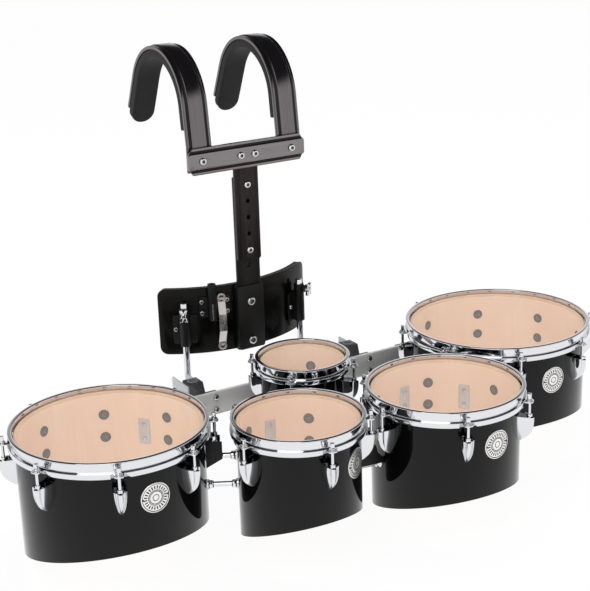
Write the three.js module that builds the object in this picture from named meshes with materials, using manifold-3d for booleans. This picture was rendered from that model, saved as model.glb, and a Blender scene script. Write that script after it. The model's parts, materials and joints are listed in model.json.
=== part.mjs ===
// Marching tenor drums: five drums on one crossbar, hung from a shoulder carrier.
//
// Lengths are in millimetres and +Z is up. +X runs along the crossbar, -Y is the side
// the audience sees and +Y is the player's side. Left and right are as seen from the
// front. While the pieces are made, height zero is the plane of the drums' rims and the
// plan origin is the axis of the smallest drum; at the end the whole set is moved so
// that the origin is the middle of its footprint, on the floor.

import * as THREE from 'three';
import { mergeVertices } from 'three/addons/utils/BufferGeometryUtils.js';
import Module from 'manifold-3d';

const wasm = await Module();
wasm.setup();

// Clearances
const SEAT_GAP = 0.3;
const RUNNING_GAP = 0.4;
const SHELL_SEAT_GAP = 0.6;
const OVERRUN = 6;

// The drums: their diameters, and how deep their slanted shells are at the front and the back.
const DRUM_12_DIAMETER = 304.8;
const DRUM_8_DIAMETER = 203.2;
const DRUM_6_DIAMETER = 152.4;
const DRUM_10_DIAMETER = 254;
const DRUM_13_DIAMETER = 330.2;
const BIG_FRONT_DEPTH = 160;
const BIG_BACK_DEPTH = 240;
const DRUM_8_FRONT_DEPTH = 151;
const DRUM_8_BACK_DEPTH = 231;
const SMALL_FRONT_DEPTH = 112;
const SMALL_BACK_DEPTH = 140;

// Angles are in degrees, 0 along +X and 90 along +Y. The lugs of a drum with a lugsFrom start
// from the direction of that neighbour, so that they stay clear of the tie between the two.
const DRUMS = {
  drum_12: {
    diameter: DRUM_12_DIAMETER, frontDepth: BIG_FRONT_DEPTH, backDepth: BIG_BACK_DEPTH,
    lugs: 8, firstLugAngle: -79.3, lugsFrom: 'drum_8', sides: 32,
  },
  drum_8: {
    diameter: DRUM_8_DIAMETER, frontDepth: DRUM_8_FRONT_DEPTH, backDepth: DRUM_8_BACK_DEPTH,
    lugs: 5, firstLugAngle: -95, sides: 26,
  },
  drum_6: {
    diameter: DRUM_6_DIAMETER, frontDepth: SMALL_FRONT_DEPTH, backDepth: SMALL_BACK_DEPTH,
    lugs: 4, firstLugAngle: -43, sides: 20,
  },
  drum_10: {
    diameter: DRUM_10_DIAMETER, frontDepth: BIG_FRONT_DEPTH, backDepth: BIG_BACK_DEPTH,
    lugs: 6, firstLugAngle: -112, sides: 30,
  },
  drum_13: {
    diameter: DRUM_13_DIAMETER, frontDepth: BIG_FRONT_DEPTH, backDepth: BIG_BACK_DEPTH,
    lugs: 8, firstLugAngle: -115, sides: 34,
  },
};

// Where the drums stand: the gap between two neighbours' rims, the direction from the first
// to the second, and how far the largest shell stands past the front of the crossbar.
const GAP_6_TO_8 = 73.7;
const ANGLE_6_TO_8 = -122.6;
const GAP_8_TO_12 = 32.6;
const GAP_8_TO_10 = 29;
const ANGLE_8_TO_10 = -5.7;
const GAP_10_TO_13 = 36.2;
const LARGEST_PAST_BAR = 21.4;

// Shell: bent ply with an outer round-over and a 45 degree inner bearing edge
const SHELL_WALL = 6.5;
const EDGE_ROUND = 2;

// Head: a film over the bearing edge, with its flesh hoop round the shell
const HEAD_DROP = 9;
const FILM = 1;
const COLLAR_GAP = 0.4;
const FLESH_HOOP_WIDTH = 5;
const FLESH_HOOP_HEIGHT = 6.5;

// Counter hoop: flanged out at the top, and out and down at the bottom
const HOOP_STOCK = 2.3;
const HOOP_WALL_HEIGHT = 17;
const HOOP_TOP_FLANGE = 4.8;
const HOOP_LIP_REACH = 6.3;
const HOOP_LIP_HEIGHT = 9;
const HOOP_FLANGE_EDGE_SHARE = 0.8;
const EAR_HALF_WIDTH = 8;
const EAR_MARGIN = 7;
const EAR_CLEAR_HALF_WIDTH = 13;
const EAR_TIP_SHARES = { back: 0.3, wide: 0.7 };

// Tension rods and lugs
const ROD_OFFSET = 17.5;
const ROD_RADIUS = 2.8;
const ROD_SIDES = 6;
const ROD_LENGTH = 47;
const ROD_HEAD_RADIUS = 4.6;
const ROD_HEAD = 13;
const LUG_TOP_DROP = 44;
const LUG_HEIGHT = 47;
const LUG_WIDTH = 22;
const LUG_REACH = 26;
const LUG_RECESS = 10;
const LUG_RECESS_DEPTH = 23;
const LUG_SECTION_SHARES = [
  { down: 0, wide: 1, reach: 1 },
  { down: 0.42, wide: 1, reach: 0.96 },
  { down: 0.75, wide: 0.76, reach: 0.6 },
  { down: 1, wide: 0.22, reach: 0.16 },
];
const LUG_SHOULDER_SHARE = 0.84;

// Crossbar
const BAR_DROP = 75;
const BAR_HEIGHT = 44;
const BAR_THICKNESS = 6.4;
const BAR_STANDOFF = 20.6;
const BAR_PAST_BLOCK = 15;
const BAR_END_GAP = 5;
const BAR_CORNER = 6;
const BLOCK_WIDTH = 40;
const BLOCK_HEIGHT = 40;
const BLOCK_ARC_SHARES = [-1, -0.5, 0, 0.5, 1];

// Bent steel bracket from the crossbar's right end to the largest shell
const END_BRACKET_THICKNESS = 4;
const END_BRACKET_ANGLE = 105;
const END_BRACKET_LEG_SHARE = 0.474;
const END_BRACKET_PAST = 34;

// Receivers on the crossbar's back, which the carrier's hooks lift into
const RECEIVER_SPACING = 336;
const RECEIVER_TOP_DROP = 52;
const RECEIVER_HALF_WIDTH = 13.7;
const RECEIVER_DEPTH = 28;
const RECEIVER_FOOT = 45;
const RECEIVER_FOOT_DROP = 80;
const RECEIVER_SLANT = 5;
const RECEIVER_BOTTOM_DROP = 115;
const RECEIVER_FOOT_DEPTH = 15;
const BUSHING_RADIUS = 10.5;
const BUSHING_BORE = 6.9;
const BUSHING_PROUD = 2;
const BUSHING_SIDES = 12;
const GUIDE_THICKNESS = 3;
const GUIDE_LENGTH = 65;
const GUIDE_HEIGHT = 27;
const GUIDE_DROP = 56;

// Tubes that tie neighbouring drums together, and their sockets
const TIE_RADIUS = 4.5;
const TIE_SIDES = 8;
const TIE_UPPER_DROP = 68;
const TIE_LOWER_DROP = 119;
const SOCKET_FLANGE_RADIUS = 10.5;
const SOCKET_NECK_RADIUS = 8.6;
const SOCKET_LENGTH = 13;
const PLATE_THICKNESS = 3;
const GUSSET_LENGTH = 27;
const GUSSET_TOP_DROP = 38;
const GUSSET_BOTTOM_DROP = 84;
const BRIDGE_TOP_DROP = 46;
const BRIDGE_NECK_HALF_WIDTH = 4;
const BRIDGE_OUTLINE_SHARES = [
  { up: 0, out: 1.03 },
  { up: 0.12, out: 1.02 },
  { up: 0.3, out: 0.55 },
  { up: 0.62, out: 0.3 },
];

// Carrier: its middle, to the right of the smallest drum's axis
const CARRIER_X = 4.3;

// Carrier: hook rods
const HOOK_SPACING = 251;
const HOOK_RADIUS = 6.35;
const HOOK_SIDES = 10;
const HOOK_BEND = 18;
const HOOK_BEND_STEPS = 4;
const HOOK_TIP_DROP = 57;
const HOOK_RUN_DROP = 138;
const HOOK_TOP = 57;

// Carrier: belly plate, bowed round the player, and its pad
const BELLY_FROM_BAR = 104.8;
const BELLY_RADIUS = 250;
const BELLY_PAST_HOOK = 34.5;
const BELLY_HALF_WIDTH = HOOK_SPACING / 2 + BELLY_PAST_HOOK;
const BELLY_TOP = 82;
const BELLY_HEIGHT = 130;
const BELLY_THICKNESS = 3.5;
const BELLY_CORNER = 15;
const BELLY_STEPS = 14;
const BELLY_PAD_THICKNESS = 14;
const BELLY_PAD_EDGE_SHARE = 0.55;
const BELLY_PAD_INSET = 2;
const BELLY_PAD_DRAW_IN = 4;
const BELLY_PAD_BACK_SHARE = 0.98;
const BELLY_PAD_SIDE_SHARE = 0.5;
const BELLY_PAD_UP_SHARES = [-1, -0.85, -0.4, 0, 0.4, 0.85, 1];

// Carrier: rod clamps with wing screws
const CLAMP_TUBE_RADIUS = 10;
const CLAMP_STANDOFF = 14.5;
const CLAMP_TOP = 60;
const CLAMP_BOTTOM = -25;
const CLAMP_FOOT_WIDTH = 46;
const CLAMP_FOOT_TOP = 32;
const CLAMP_FOOT_THICKNESS = 4;
const CLAMP_FOOT_CORNER = 5;
const CLAMP_SIDES = 12;
const CLAMP_WEB = 9;
const CLAMP_BOSS_RADIUS = 7;
const CLAMP_BOSS = 5;
const WING_HEIGHT = 41;
const WING_HUB_RADIUS = 5.5;
const WING_HUB = 8;
const WING_SPAN = 12;
const WING_WIDTH = 15;
const WING_WAIST = 6;
const WING_THICKNESS = 6;
const WING_PAST_HUB = 2;
const WING_SCREW_RADIUS = 3;
const WING_SIDES = 8;

// Carrier: centre socket and chrome loop on the belly plate
const CENTRE_SOCKET_OFFSET = -71;
const CENTRE_SOCKET_RADIUS = 8;
const CENTRE_SOCKET_BORE = 5.6;
const CENTRE_SOCKET_TOP = 92;
const CENTRE_SOCKET_BOTTOM = 20;
const CENTRE_SOCKET_FOOT_WIDTH = 58;
const CENTRE_SOCKET_FOOT_SHIFT = 5;
const CENTRE_SOCKET_FOOT_HEIGHT = 40;
const CENTRE_SOCKET_FOOT_RISE = 5;
const CENTRE_SOCKET_SLOT = 3;
const LOOP_OFFSET = -54;
const LOOP_TOP = 62;
const LOOP_BOTTOM = -36;
const LOOP_WIDTH = 15;
const LOOP_THICKNESS = 3;
const LOOP_BOW = 14;
const LOOP_TOP_SEAT = 5.5;
const LOOP_RAMP = 24;
const LOOP_WAIST_SHARE = 0.85;

// Carrier: grooved aluminium section used for the T-bar, column and shoulder straps
const SECTION_WIDTH = 49;
const SECTION_THICKNESS = 8;
const SECTION_GROOVE_DEPTH = 3;
const SECTION_SHARES = [
  { across: 1, groove: 0.6 },
  { across: 0.82, groove: 0.6 },
  { across: 0.78, groove: 1 },
  { across: 0.64, groove: 1 },
  { across: 0.58, groove: 0 },
];

// Carrier: column
const COLUMN_STRAP_BOTTOM = 128;
const COLUMN_STRAP_TOP_DROP = 8;
const COLUMN_STRAP_CORNER = 5;
const COLUMN_HOLE_PITCH = 31.3;
const COLUMN_HOLE_COUNT = 5;
const COLUMN_FIRST_HOLE = 150.4;
const COLUMN_HOLE_RADIUS = 4.2;
const COLUMN_BAR_TOP = 290;
const COLUMN_BAR_THICKNESS = 6;
const COLUMN_GROOVE_WIDTH = 8;
const COLUMN_GROOVE_DEPTH = 4;
const COLUMN_GROOVE_PAST = 36;
const COVER_THICKNESS = 3;
const COVER_TOP = 80;
const COVER_BOTTOM = -47;
const BRACKET_FLOOR = 6;
const BRACKET_WALL = 3;

// Carrier: T-bar and shoulder straps
const T_BAR_LENGTH = 240;
const T_BAR_BOTTOM = 309;
const T_BAR_CHAMFER = 9;
const T_BAR_CHAMFER_HEIGHT = 13;
const BUTTON_RADIUS = 7;
const BUTTON_HEIGHT = 3.5;
const BUTTON_CROWN_SHARES = { wide: 0.8, high: 0.6 };
const BUTTON_SIDES = 8;
const SCREW_RADIUS = 3.4;
const SCREW_HOLE_GAP = 0.5;
const NUT_RADIUS = 6;
const NUT_HEIGHT = 5;
const NUT_SIDES = 6;
const COLUMN_SCREW_SPACING = 29;
const STRAP_SPACING = 185;
const STRAP_BOTTOM = 313;
const STRAP_LEAN_ANGLE = 6.5;
const STRAP_LEAN_START = 360;
const STRAP_LEAN_LENGTH = 71;
const STRAP_SHOULDER_RADIUS = 112;
const STRAP_BACK_LEAN_ANGLE = 25.7;
const STRAP_BACK_LENGTH = 74;
const STRAP_ARC_STEPS = 12;
const SHOULDER_PAD_THICKNESS = 16;
const SHOULDER_PAD_WIDTH = 47;
const SHOULDER_PAD_FRONT = 30;
const SHOULDER_PAD_PAST = 26;
const SHOULDER_PAD_END_STEPS = 4;
const PAD_FRONT_THICK_SHARE = 0.8;
const PAD_TAIL_WIDE_SHARE = 0.3;
const PAD_TAIL_THICK_SHARE = 0.6;
const PAD_OUTLINE_SHARES = [
  [-0.9, 0], [0.9, 0], [1, 0.3], [0.94, 0.74], [0.62, 0.95],
  [0, 1], [-0.62, 0.95], [-0.94, 0.74], [-1, 0.3],
];

const DEGREE = Math.PI / 180;

// Finishes
function finish(color, roughness, metalness) {
  return new THREE.MeshStandardMaterial({ color, roughness, metalness });
}
const gloss = () => finish(0x0b0b0c, 0.12, 0);
const film = () => finish(0xe9dcc8, 0.2, 0);
const chrome = () => finish(0xd9dadc, 0.12, 1);
const satin = () => finish(0xb4b4b4, 0.45, 1);
const coated = () => finish(0x151516, 0.45, 0.1);
const anodised = () => finish(0x2a282b, 0.4, 0.6);
const moulded = () => finish(0x1b1b1d, 0.5, 0);
const foam = () => finish(0x101011, 0.9, 0);

// Solids: to the cutting library and back

function solid(geometry) {
  const plain = geometry.clone();
  plain.deleteAttribute('normal');
  plain.deleteAttribute('uv');
  const merged = mergeVertices(plain);
  const kept = [];
  for (let i = 0; i < merged.index.count; i += 3) {
    const [a, b, c] = [0, 1, 2].map((corner) => merged.index.getX(i + corner));
    if (a !== b && b !== c && c !== a) kept.push(a, b, c);
  }
  return new wasm.Manifold(new wasm.Mesh({
    numProp: 3,
    vertProperties: Float32Array.from(merged.attributes.position.array),
    triVerts: Uint32Array.from(kept),
  }));
}

function geometryOf(body) {
  const { numProp, vertProperties, triVerts } = body.getMesh();
  const geometry = new THREE.BufferGeometry();
  const positions = [];
  for (let i = 0; i < vertProperties.length; i += numProp) {
    positions.push(vertProperties[i], vertProperties[i + 1], vertProperties[i + 2]);
  }
  geometry.setAttribute('position', new THREE.Float32BufferAttribute(positions, 3));
  geometry.setIndex(Array.from(triVerts));
  return geometry;
}

function join(geometries) {
  return geometryOf(geometries.map(solid).reduce((whole, piece) => whole.add(piece)));
}

function cut(geometry, tools) {
  return geometryOf(tools.map(solid).reduce((whole, tool) => whole.subtract(tool), solid(geometry)));
}

function common(geometry, other) {
  return geometryOf(solid(geometry).intersect(solid(other)));
}

// Six times the volume that a geometry encloses, negative if it is inside out
function signedVolume(geometry) {
  const flat = geometry.index ? geometry.toNonIndexed() : geometry;
  const [a, b, c] = [new THREE.Vector3(), new THREE.Vector3(), new THREE.Vector3()];
  let total = 0;
  for (let i = 0; i < flat.attributes.position.count; i += 3) {
    a.fromBufferAttribute(flat.attributes.position, i);
    b.fromBufferAttribute(flat.attributes.position, i + 1);
    c.fromBufferAttribute(flat.attributes.position, i + 2);
    total += a.dot(b.cross(c));
  }
  return total;
}

function outward(geometry) {
  if (signedVolume(geometry) < 0) {
    const index = geometry.index;
    for (let i = 0; i < index.count; i += 3) {
      const first = index.getX(i);
      index.setX(i, index.getX(i + 1));
      index.setX(i + 1, first);
    }
  }
  return geometry;
}

// Basic forms

// A profile of [radius, height] points turned round +Z
function revolve(profile, sides) {
  const lathe = new THREE.LatheGeometry(profile.map(([r, z]) => new THREE.Vector2(r, z)), sides);
  return outward(lathe.rotateX(Math.PI / 2));
}

function ring(profile, sides) {
  return revolve([...profile, profile[0]], sides);
}

function shapeOf(outline, holes = []) {
  const shape = new THREE.Shape(outline.map(([x, y]) => new THREE.Vector2(x, y)));
  shape.holes = holes.map((hole) => new THREE.Path(hole.map(([x, y]) => new THREE.Vector2(x, y))));
  return shape;
}

// An outline in plan, raised from bottom by height
function raised(outline, bottom, height, holes = []) {
  const shape = shapeOf(outline, holes);
  const geometry = new THREE.ExtrudeGeometry(shape, { depth: height, bevelEnabled: false });
  return geometry.translate(0, 0, bottom);
}

// An outline of [x, z] points standing across Y, with its front face at frontY
function upright(outline, frontY, thickness, holes = []) {
  const shape = shapeOf(outline, holes);
  const geometry = new THREE.ExtrudeGeometry(shape, { depth: thickness, bevelEnabled: false });
  return geometry.rotateX(Math.PI / 2).translate(0, frontY + thickness, 0);
}

function rectangle(left, right, bottom, top) {
  return [[left, bottom], [right, bottom], [right, top], [left, top]];
}

function chamfered(left, right, bottom, top, wide, high) {
  return [
    [left + wide, bottom], [right - wide, bottom], [right, bottom + high], [right, top - high],
    [right - wide, top], [left + wide, top], [left, top - high], [left, bottom + high],
  ];
}

function circle(x, y, radius, sides) {
  return Array.from({ length: sides }, (_, i) => {
    const angle = i / sides * 2 * Math.PI;
    return [x + radius * Math.cos(angle), y + radius * Math.sin(angle)];
  });
}

// A round bar along +Y from startY, for bolts and the holes they need
function barAlongY(x, startY, z, radius, length, sides) {
  return upright(circle(x, z, radius, sides), startY, length);
}

// Skins a row of cross-sections, and closes its two ends with the section's triangles
function loft(sections, capTriangles) {
  const count = sections[0].length;
  const index = [];
  for (let s = 0; s + 1 < sections.length; s += 1) {
    for (let i = 0; i < count; i += 1) {
      const next = (i + 1) % count;
      const [a, b, c, d] = [s * count + i, s * count + next, (s + 1) * count + i, (s + 1) * count + next];
      index.push(a, b, d, a, d, c);
    }
  }
  const last = (sections.length - 1) * count;
  for (const [a, b, c] of capTriangles) index.push(a, c, b, last + a, last + b, last + c);
  const geometry = new THREE.BufferGeometry();
  const positions = sections.flat().flatMap((point) => point.toArray());
  geometry.setAttribute('position', new THREE.Float32BufferAttribute(positions, 3));
  geometry.setIndex(index);
  return outward(geometry);
}

function capOf(outline) {
  return THREE.ShapeUtils.triangulateShape(outline.map(([x, y]) => new THREE.Vector2(x, y)), []);
}

// A round bar along a path of points, square to the path at each of them
function tube(points, radius, sides) {
  const outline = circle(0, 0, radius, sides);
  const directionAt = (i) => {
    const before = points[Math.max(i - 1, 0)];
    const after = points[Math.min(i + 1, points.length - 1)];
    return after.clone().sub(before).normalize();
  };
  const turn = new THREE.Quaternion();
  const frame = new THREE.Quaternion().setFromUnitVectors(new THREE.Vector3(0, 0, 1), directionAt(0));
  const sections = points.map((point, i) => {
    if (i > 0) frame.premultiply(turn.setFromUnitVectors(directionAt(i - 1), directionAt(i)));
    return outline.map(([x, y]) => new THREE.Vector3(x, y, 0).applyQuaternion(frame).add(point));
  });
  return loft(sections, capOf(outline));
}

// A headed bolt along -Y: the head sits in front of frontY and the shank runs back from it
function boltAlongY(x, frontY, z, headRadius, head, radius, length, sides) {
  const crown = BUTTON_CROWN_SHARES;
  const profile = [
    [0, -head], [headRadius * crown.wide, -head], [headRadius, -head * crown.high], [headRadius, 0],
    [radius, 0], [radius, length], [0, length],
  ];
  return revolve(profile, sides).rotateX(-Math.PI / 2).translate(x, frontY, z);
}

function mesh(name, geometry, material) {
  const piece = new THREE.Mesh(geometry, material);
  piece.name = name;
  return piece;
}

// Where each drum stands

const radiusOf = (name) => DRUMS[name].diameter / 2;
const COLLAR_RADIUS_OVER_SHELL = COLLAR_GAP + FILM;
const HOOP_BORE_OVER_SHELL = COLLAR_RADIUS_OVER_SHELL + RUNNING_GAP;
const RIM_OVER_SHELL = HOOP_BORE_OVER_SHELL + HOOP_STOCK + HOOP_TOP_FLANGE;
const rimRadius = (name) => radiusOf(name) + RIM_OVER_SHELL;

const barFrontY = radiusOf('drum_6') + BAR_STANDOFF;
const barBackY = barFrontY + BAR_THICKNESS;

function neighbour(place, from, to, gap, bearing) {
  const distance = rimRadius(from) + rimRadius(to) + gap;
  return {
    x: place.x + distance * Math.cos(bearing * DEGREE),
    y: place.y + distance * Math.sin(bearing * DEGREE),
  };
}

// The place at a given y, to the left (-1) or the right (1) of a neighbour
function levelNeighbour(place, from, to, gap, y, side) {
  const distance = rimRadius(from) + rimRadius(to) + gap;
  return { x: place.x + side * Math.sqrt(distance ** 2 - (y - place.y) ** 2), y };
}

function placeDrums() {
  const places = { drum_6: { x: 0, y: 0 } };
  places.drum_8 = neighbour(places.drum_6, 'drum_6', 'drum_8', GAP_6_TO_8, ANGLE_6_TO_8);
  places.drum_10 = neighbour(places.drum_8, 'drum_8', 'drum_10', GAP_8_TO_10, ANGLE_8_TO_10);
  // The 12 inch drum backs on to the crossbar as the smallest does, and the largest ends it.
  const y12 = barFrontY - BAR_STANDOFF - radiusOf('drum_12');
  const y13 = barFrontY + LARGEST_PAST_BAR - radiusOf('drum_13');
  places.drum_12 = levelNeighbour(places.drum_8, 'drum_8', 'drum_12', GAP_8_TO_12, y12, -1);
  places.drum_13 = levelNeighbour(places.drum_10, 'drum_10', 'drum_13', GAP_10_TO_13, y13, 1);
  return places;
}

const places = placeDrums();

function directionTo(from, to) {
  return Math.atan2(places[to].y - places[from].y, places[to].x - places[from].x);
}

// Places on the crossbar

const blockDrums = ['drum_12', 'drum_6'];
const receiverXs = [CARRIER_X - RECEIVER_SPACING / 2, CARRIER_X + RECEIVER_SPACING / 2];
const barMiddle = -BAR_DROP - BAR_HEIGHT / 2;

// The end bracket's flat leg lies on the bar's back, over a share of what is free between its
// bend and the right receiver's foot; its other leg is tangent to the shell.
function bracketPlace() {
  const centre = places.drum_13;
  const bearing = END_BRACKET_ANGLE * DEGREE;
  const reach = radiusOf('drum_13') + SHELL_SEAT_GAP;
  const touch = { x: centre.x + reach * Math.cos(bearing), y: centre.y + reach * Math.sin(bearing) };
  const along = { x: Math.sin(bearing), y: -Math.cos(bearing) };
  const frontY = barBackY + SEAT_GAP;
  const bendX = touch.x - (touch.y - frontY) / along.y * along.x;
  return { touch, along, frontY, bendX, bearing };
}
const bracket = bracketPlace();
// The bar stops short of the largest shell.
function barRightEnd() {
  const centre = places.drum_13;
  const reach = radiusOf('drum_13') + BAR_END_GAP;
  return centre.x - Math.sqrt(reach ** 2 - (barFrontY - centre.y) ** 2);
}

// Drum pieces

const bottomOf = (drum, radius, y) => {
  const middle = (drum.frontDepth + drum.backDepth) / 2;
  return -middle - (drum.backDepth - drum.frontDepth) / 2 * (y / radius);
};

// The shell with its lugs
function shell(name) {
  const drum = DRUMS[name];
  const outer = radiusOf(name);
  const inner = outer - SHELL_WALL;
  const peak = -HEAD_DROP - FILM - SEAT_GAP;
  const peakRadius = outer - EDGE_ROUND;
  const bottom = -drum.backDepth;
  const geometry = ring([
    [inner, bottom], [outer, bottom], [outer, peak - EDGE_ROUND], [peakRadius, peak],
    [inner, peak - (peakRadius - inner)],
  ], drum.sides);
  const position = geometry.attributes.position;
  for (let i = 0; i < position.count; i += 1) {
    const atBottom = Math.abs(position.getZ(i) - bottom) < SEAT_GAP;
    if (atBottom) position.setZ(i, bottomOf(drum, outer, position.getY(i)));
  }
  return join([geometry, ...roundTheDrum(name, lug(name))]);
}

const fleshTop = -HOOP_WALL_HEIGHT - HOOP_STOCK - SEAT_GAP;

function head(name) {
  const outer = radiusOf(name);
  const collar = outer + COLLAR_RADIUS_OVER_SHELL;
  const flesh = collar + FLESH_HOOP_WIDTH;
  const inner = outer + COLLAR_GAP;
  const fleshBottom = fleshTop - FLESH_HOOP_HEIGHT;
  return revolve([
    [0, -HEAD_DROP - FILM], [inner, -HEAD_DROP - FILM], [inner, fleshBottom], [flesh, fleshBottom],
    [flesh, fleshTop], [collar, fleshTop], [collar, -HEAD_DROP], [0, -HEAD_DROP],
  ], DRUMS[name].sides);
}

function lugBearings(name) {
  const drum = DRUMS[name];
  const from = drum.lugsFrom ? directionTo(name, drum.lugsFrom) : 0;
  const turn = 2 * Math.PI / drum.lugs;
  return Array.from({ length: drum.lugs }, (_, i) => from + drum.firstLugAngle * DEGREE + i * turn);
}

// One copy of a piece made at bearing 0 for each of the drum's lugs
function roundTheDrum(name, geometry) {
  return lugBearings(name).map((bearing) => geometry.clone().rotateZ(bearing));
}

// The counter hoop with its tension rods, which pass through its ears
function hoop(name) {
  const outer = radiusOf(name);
  const bore = outer + HOOP_BORE_OVER_SHELL;
  const wall = bore + HOOP_STOCK;
  const lipInner = wall + HOOP_LIP_REACH - HOOP_STOCK;
  const lipOuter = wall + HOOP_LIP_REACH;
  const flange = -HOOP_WALL_HEIGHT;
  const body = ring([
    [bore, flange - HOOP_STOCK], [lipInner, flange - HOOP_STOCK], [lipInner, flange - HOOP_LIP_HEIGHT],
    [lipOuter, flange - HOOP_LIP_HEIGHT], [lipOuter, flange], [wall, flange], [wall, -HOOP_STOCK],
    [rimRadius(name), -HOOP_STOCK * HOOP_FLANGE_EDGE_SHARE], [rimRadius(name), 0], [bore, 0],
  ], DRUMS[name].sides);
  const rodAt = outer + ROD_OFFSET;
  const tip = rodAt + EAR_MARGIN;
  const [cheekAt, cheek] = [tip - EAR_MARGIN * EAR_TIP_SHARES.back, EAR_HALF_WIDTH * EAR_TIP_SHARES.wide];
  const ear = raised([
    [wall + HOOP_STOCK, -EAR_HALF_WIDTH], [rodAt, -EAR_HALF_WIDTH], [cheekAt, -cheek],
    [tip, 0], [cheekAt, cheek], [rodAt, EAR_HALF_WIDTH], [wall + HOOP_STOCK, EAR_HALF_WIDTH],
  ], flange - HOOP_STOCK, HOOP_STOCK);
  const gap = raised(
    rectangle(lipInner - HOOP_STOCK, tip, -EAR_CLEAR_HALF_WIDTH, EAR_CLEAR_HALF_WIDTH),
    flange - HOOP_LIP_HEIGHT - OVERRUN, HOOP_LIP_HEIGHT + OVERRUN - HOOP_STOCK,
  );
  const opened = cut(body, roundTheDrum(name, gap));
  return join([opened, ...roundTheDrum(name, ear), ...roundTheDrum(name, tensionRod(name))]);
}

function tensionRod(name) {
  const seat = -HOOP_WALL_HEIGHT;
  const rod = revolve([
    [0, seat - ROD_LENGTH], [ROD_RADIUS, seat - ROD_LENGTH], [ROD_RADIUS, seat], [ROD_HEAD_RADIUS, seat],
    [ROD_HEAD_RADIUS, seat + ROD_HEAD], [0, seat + ROD_HEAD],
  ], ROD_SIDES);
  return rod.translate(radiusOf(name) + ROD_OFFSET, 0, 0);
}

// A lug is a fin that tapers to the shell, with a ridge down its middle and a
// square recess at the top that the tension rod screws into.
function lug(name) {
  const back = radiusOf(name) - SHELL_WALL / 2;
  const face = radiusOf(name);
  const sections = LUG_SECTION_SHARES.map(({ down, wide, reach }) => {
    const z = -LUG_TOP_DROP - down * LUG_HEIGHT;
    const half = wide * LUG_WIDTH / 2;
    const ridge = face + reach * LUG_REACH;
    const shoulder = face + reach * LUG_REACH * LUG_SHOULDER_SHARE;
    return [[back, -half], [shoulder, -half], [ridge, 0], [shoulder, half], [back, half]]
      .map(([x, y]) => new THREE.Vector3(x, y, z));
  });
  const body = loft(sections, [[0, 1, 2], [0, 2, 4], [2, 3, 4]]);
  const rodAt = radiusOf(name) + ROD_OFFSET;
  const recess = raised(
    rectangle(rodAt - LUG_RECESS / 2, rodAt + LUG_RECESS / 2, -LUG_RECESS / 2, LUG_RECESS / 2),
    -LUG_TOP_DROP - LUG_RECESS_DEPTH, LUG_RECESS_DEPTH + OVERRUN,
  );
  return cut(body, [recess]);
}

function makeDrum(name) {
  const group = new THREE.Group();
  group.position.set(places[name].x, places[name].y, 0);
  group.add(mesh(`${name}_shell`, shell(name), gloss()));
  group.add(mesh(`${name}_head`, head(name), film()));
  group.add(mesh(`${name}_hoop`, hoop(name), chrome()));
  return group;
}

// Crossbar and what it carries

function crossbar() {
  const left = places.drum_12.x - BLOCK_WIDTH / 2 - BAR_PAST_BLOCK;
  const outline = chamfered(left, barRightEnd(), -BAR_DROP - BAR_HEIGHT, -BAR_DROP, BAR_CORNER, BAR_CORNER);
  return upright(outline, barFrontY, BAR_THICKNESS);
}

// A block between shell and bar, hollowed to the shell's curve
function mountBlock(name) {
  const outer = radiusOf(name) + SHELL_SEAT_GAP;
  const half = BLOCK_WIDTH / 2;
  const swing = Math.asin(half / outer);
  const arc = BLOCK_ARC_SHARES.map((share) => [
    outer * Math.sin(share * swing), outer * Math.cos(share * swing),
  ]);
  const back = barFrontY - SEAT_GAP - places[name].y;
  const block = raised([[-half, back], ...arc, [half, back]], barMiddle - BLOCK_HEIGHT / 2, BLOCK_HEIGHT);
  return block.translate(places[name].x, places[name].y, 0);
}

// A steel strip bent to leave the bar's back and lie against the largest shell, below a lug
function endBracket() {
  const { touch, along, frontY, bendX } = bracket;
  const t = END_BRACKET_THICKNESS;
  const footEndX = receiverXs[1] + RECEIVER_FOOT;
  const startX = bendX - END_BRACKET_LEG_SHARE * (bendX - footEndX);
  const end = { x: touch.x + along.x * END_BRACKET_PAST, y: touch.y + along.y * END_BRACKET_PAST };
  const outBend = bendX - t * Math.tan(Math.atan2(along.y, along.x) / 2);
  const strip = raised([
    [startX, frontY], [bendX, frontY], [end.x, end.y], [end.x - along.y * t, end.y + along.x * t],
    [outBend, frontY + t], [startX, frontY + t],
  ], -BAR_DROP - BAR_HEIGHT, BAR_HEIGHT);
  const underLug = -LUG_TOP_DROP - LUG_HEIGHT - t;
  const notch = upright(
    rectangle(bendX + t, end.x + OVERRUN, underLug, -BAR_DROP + OVERRUN),
    frontY - OVERRUN, end.y - frontY + t + 2 * OVERRUN,
  );
  return cut(strip, [notch]);
}

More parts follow.
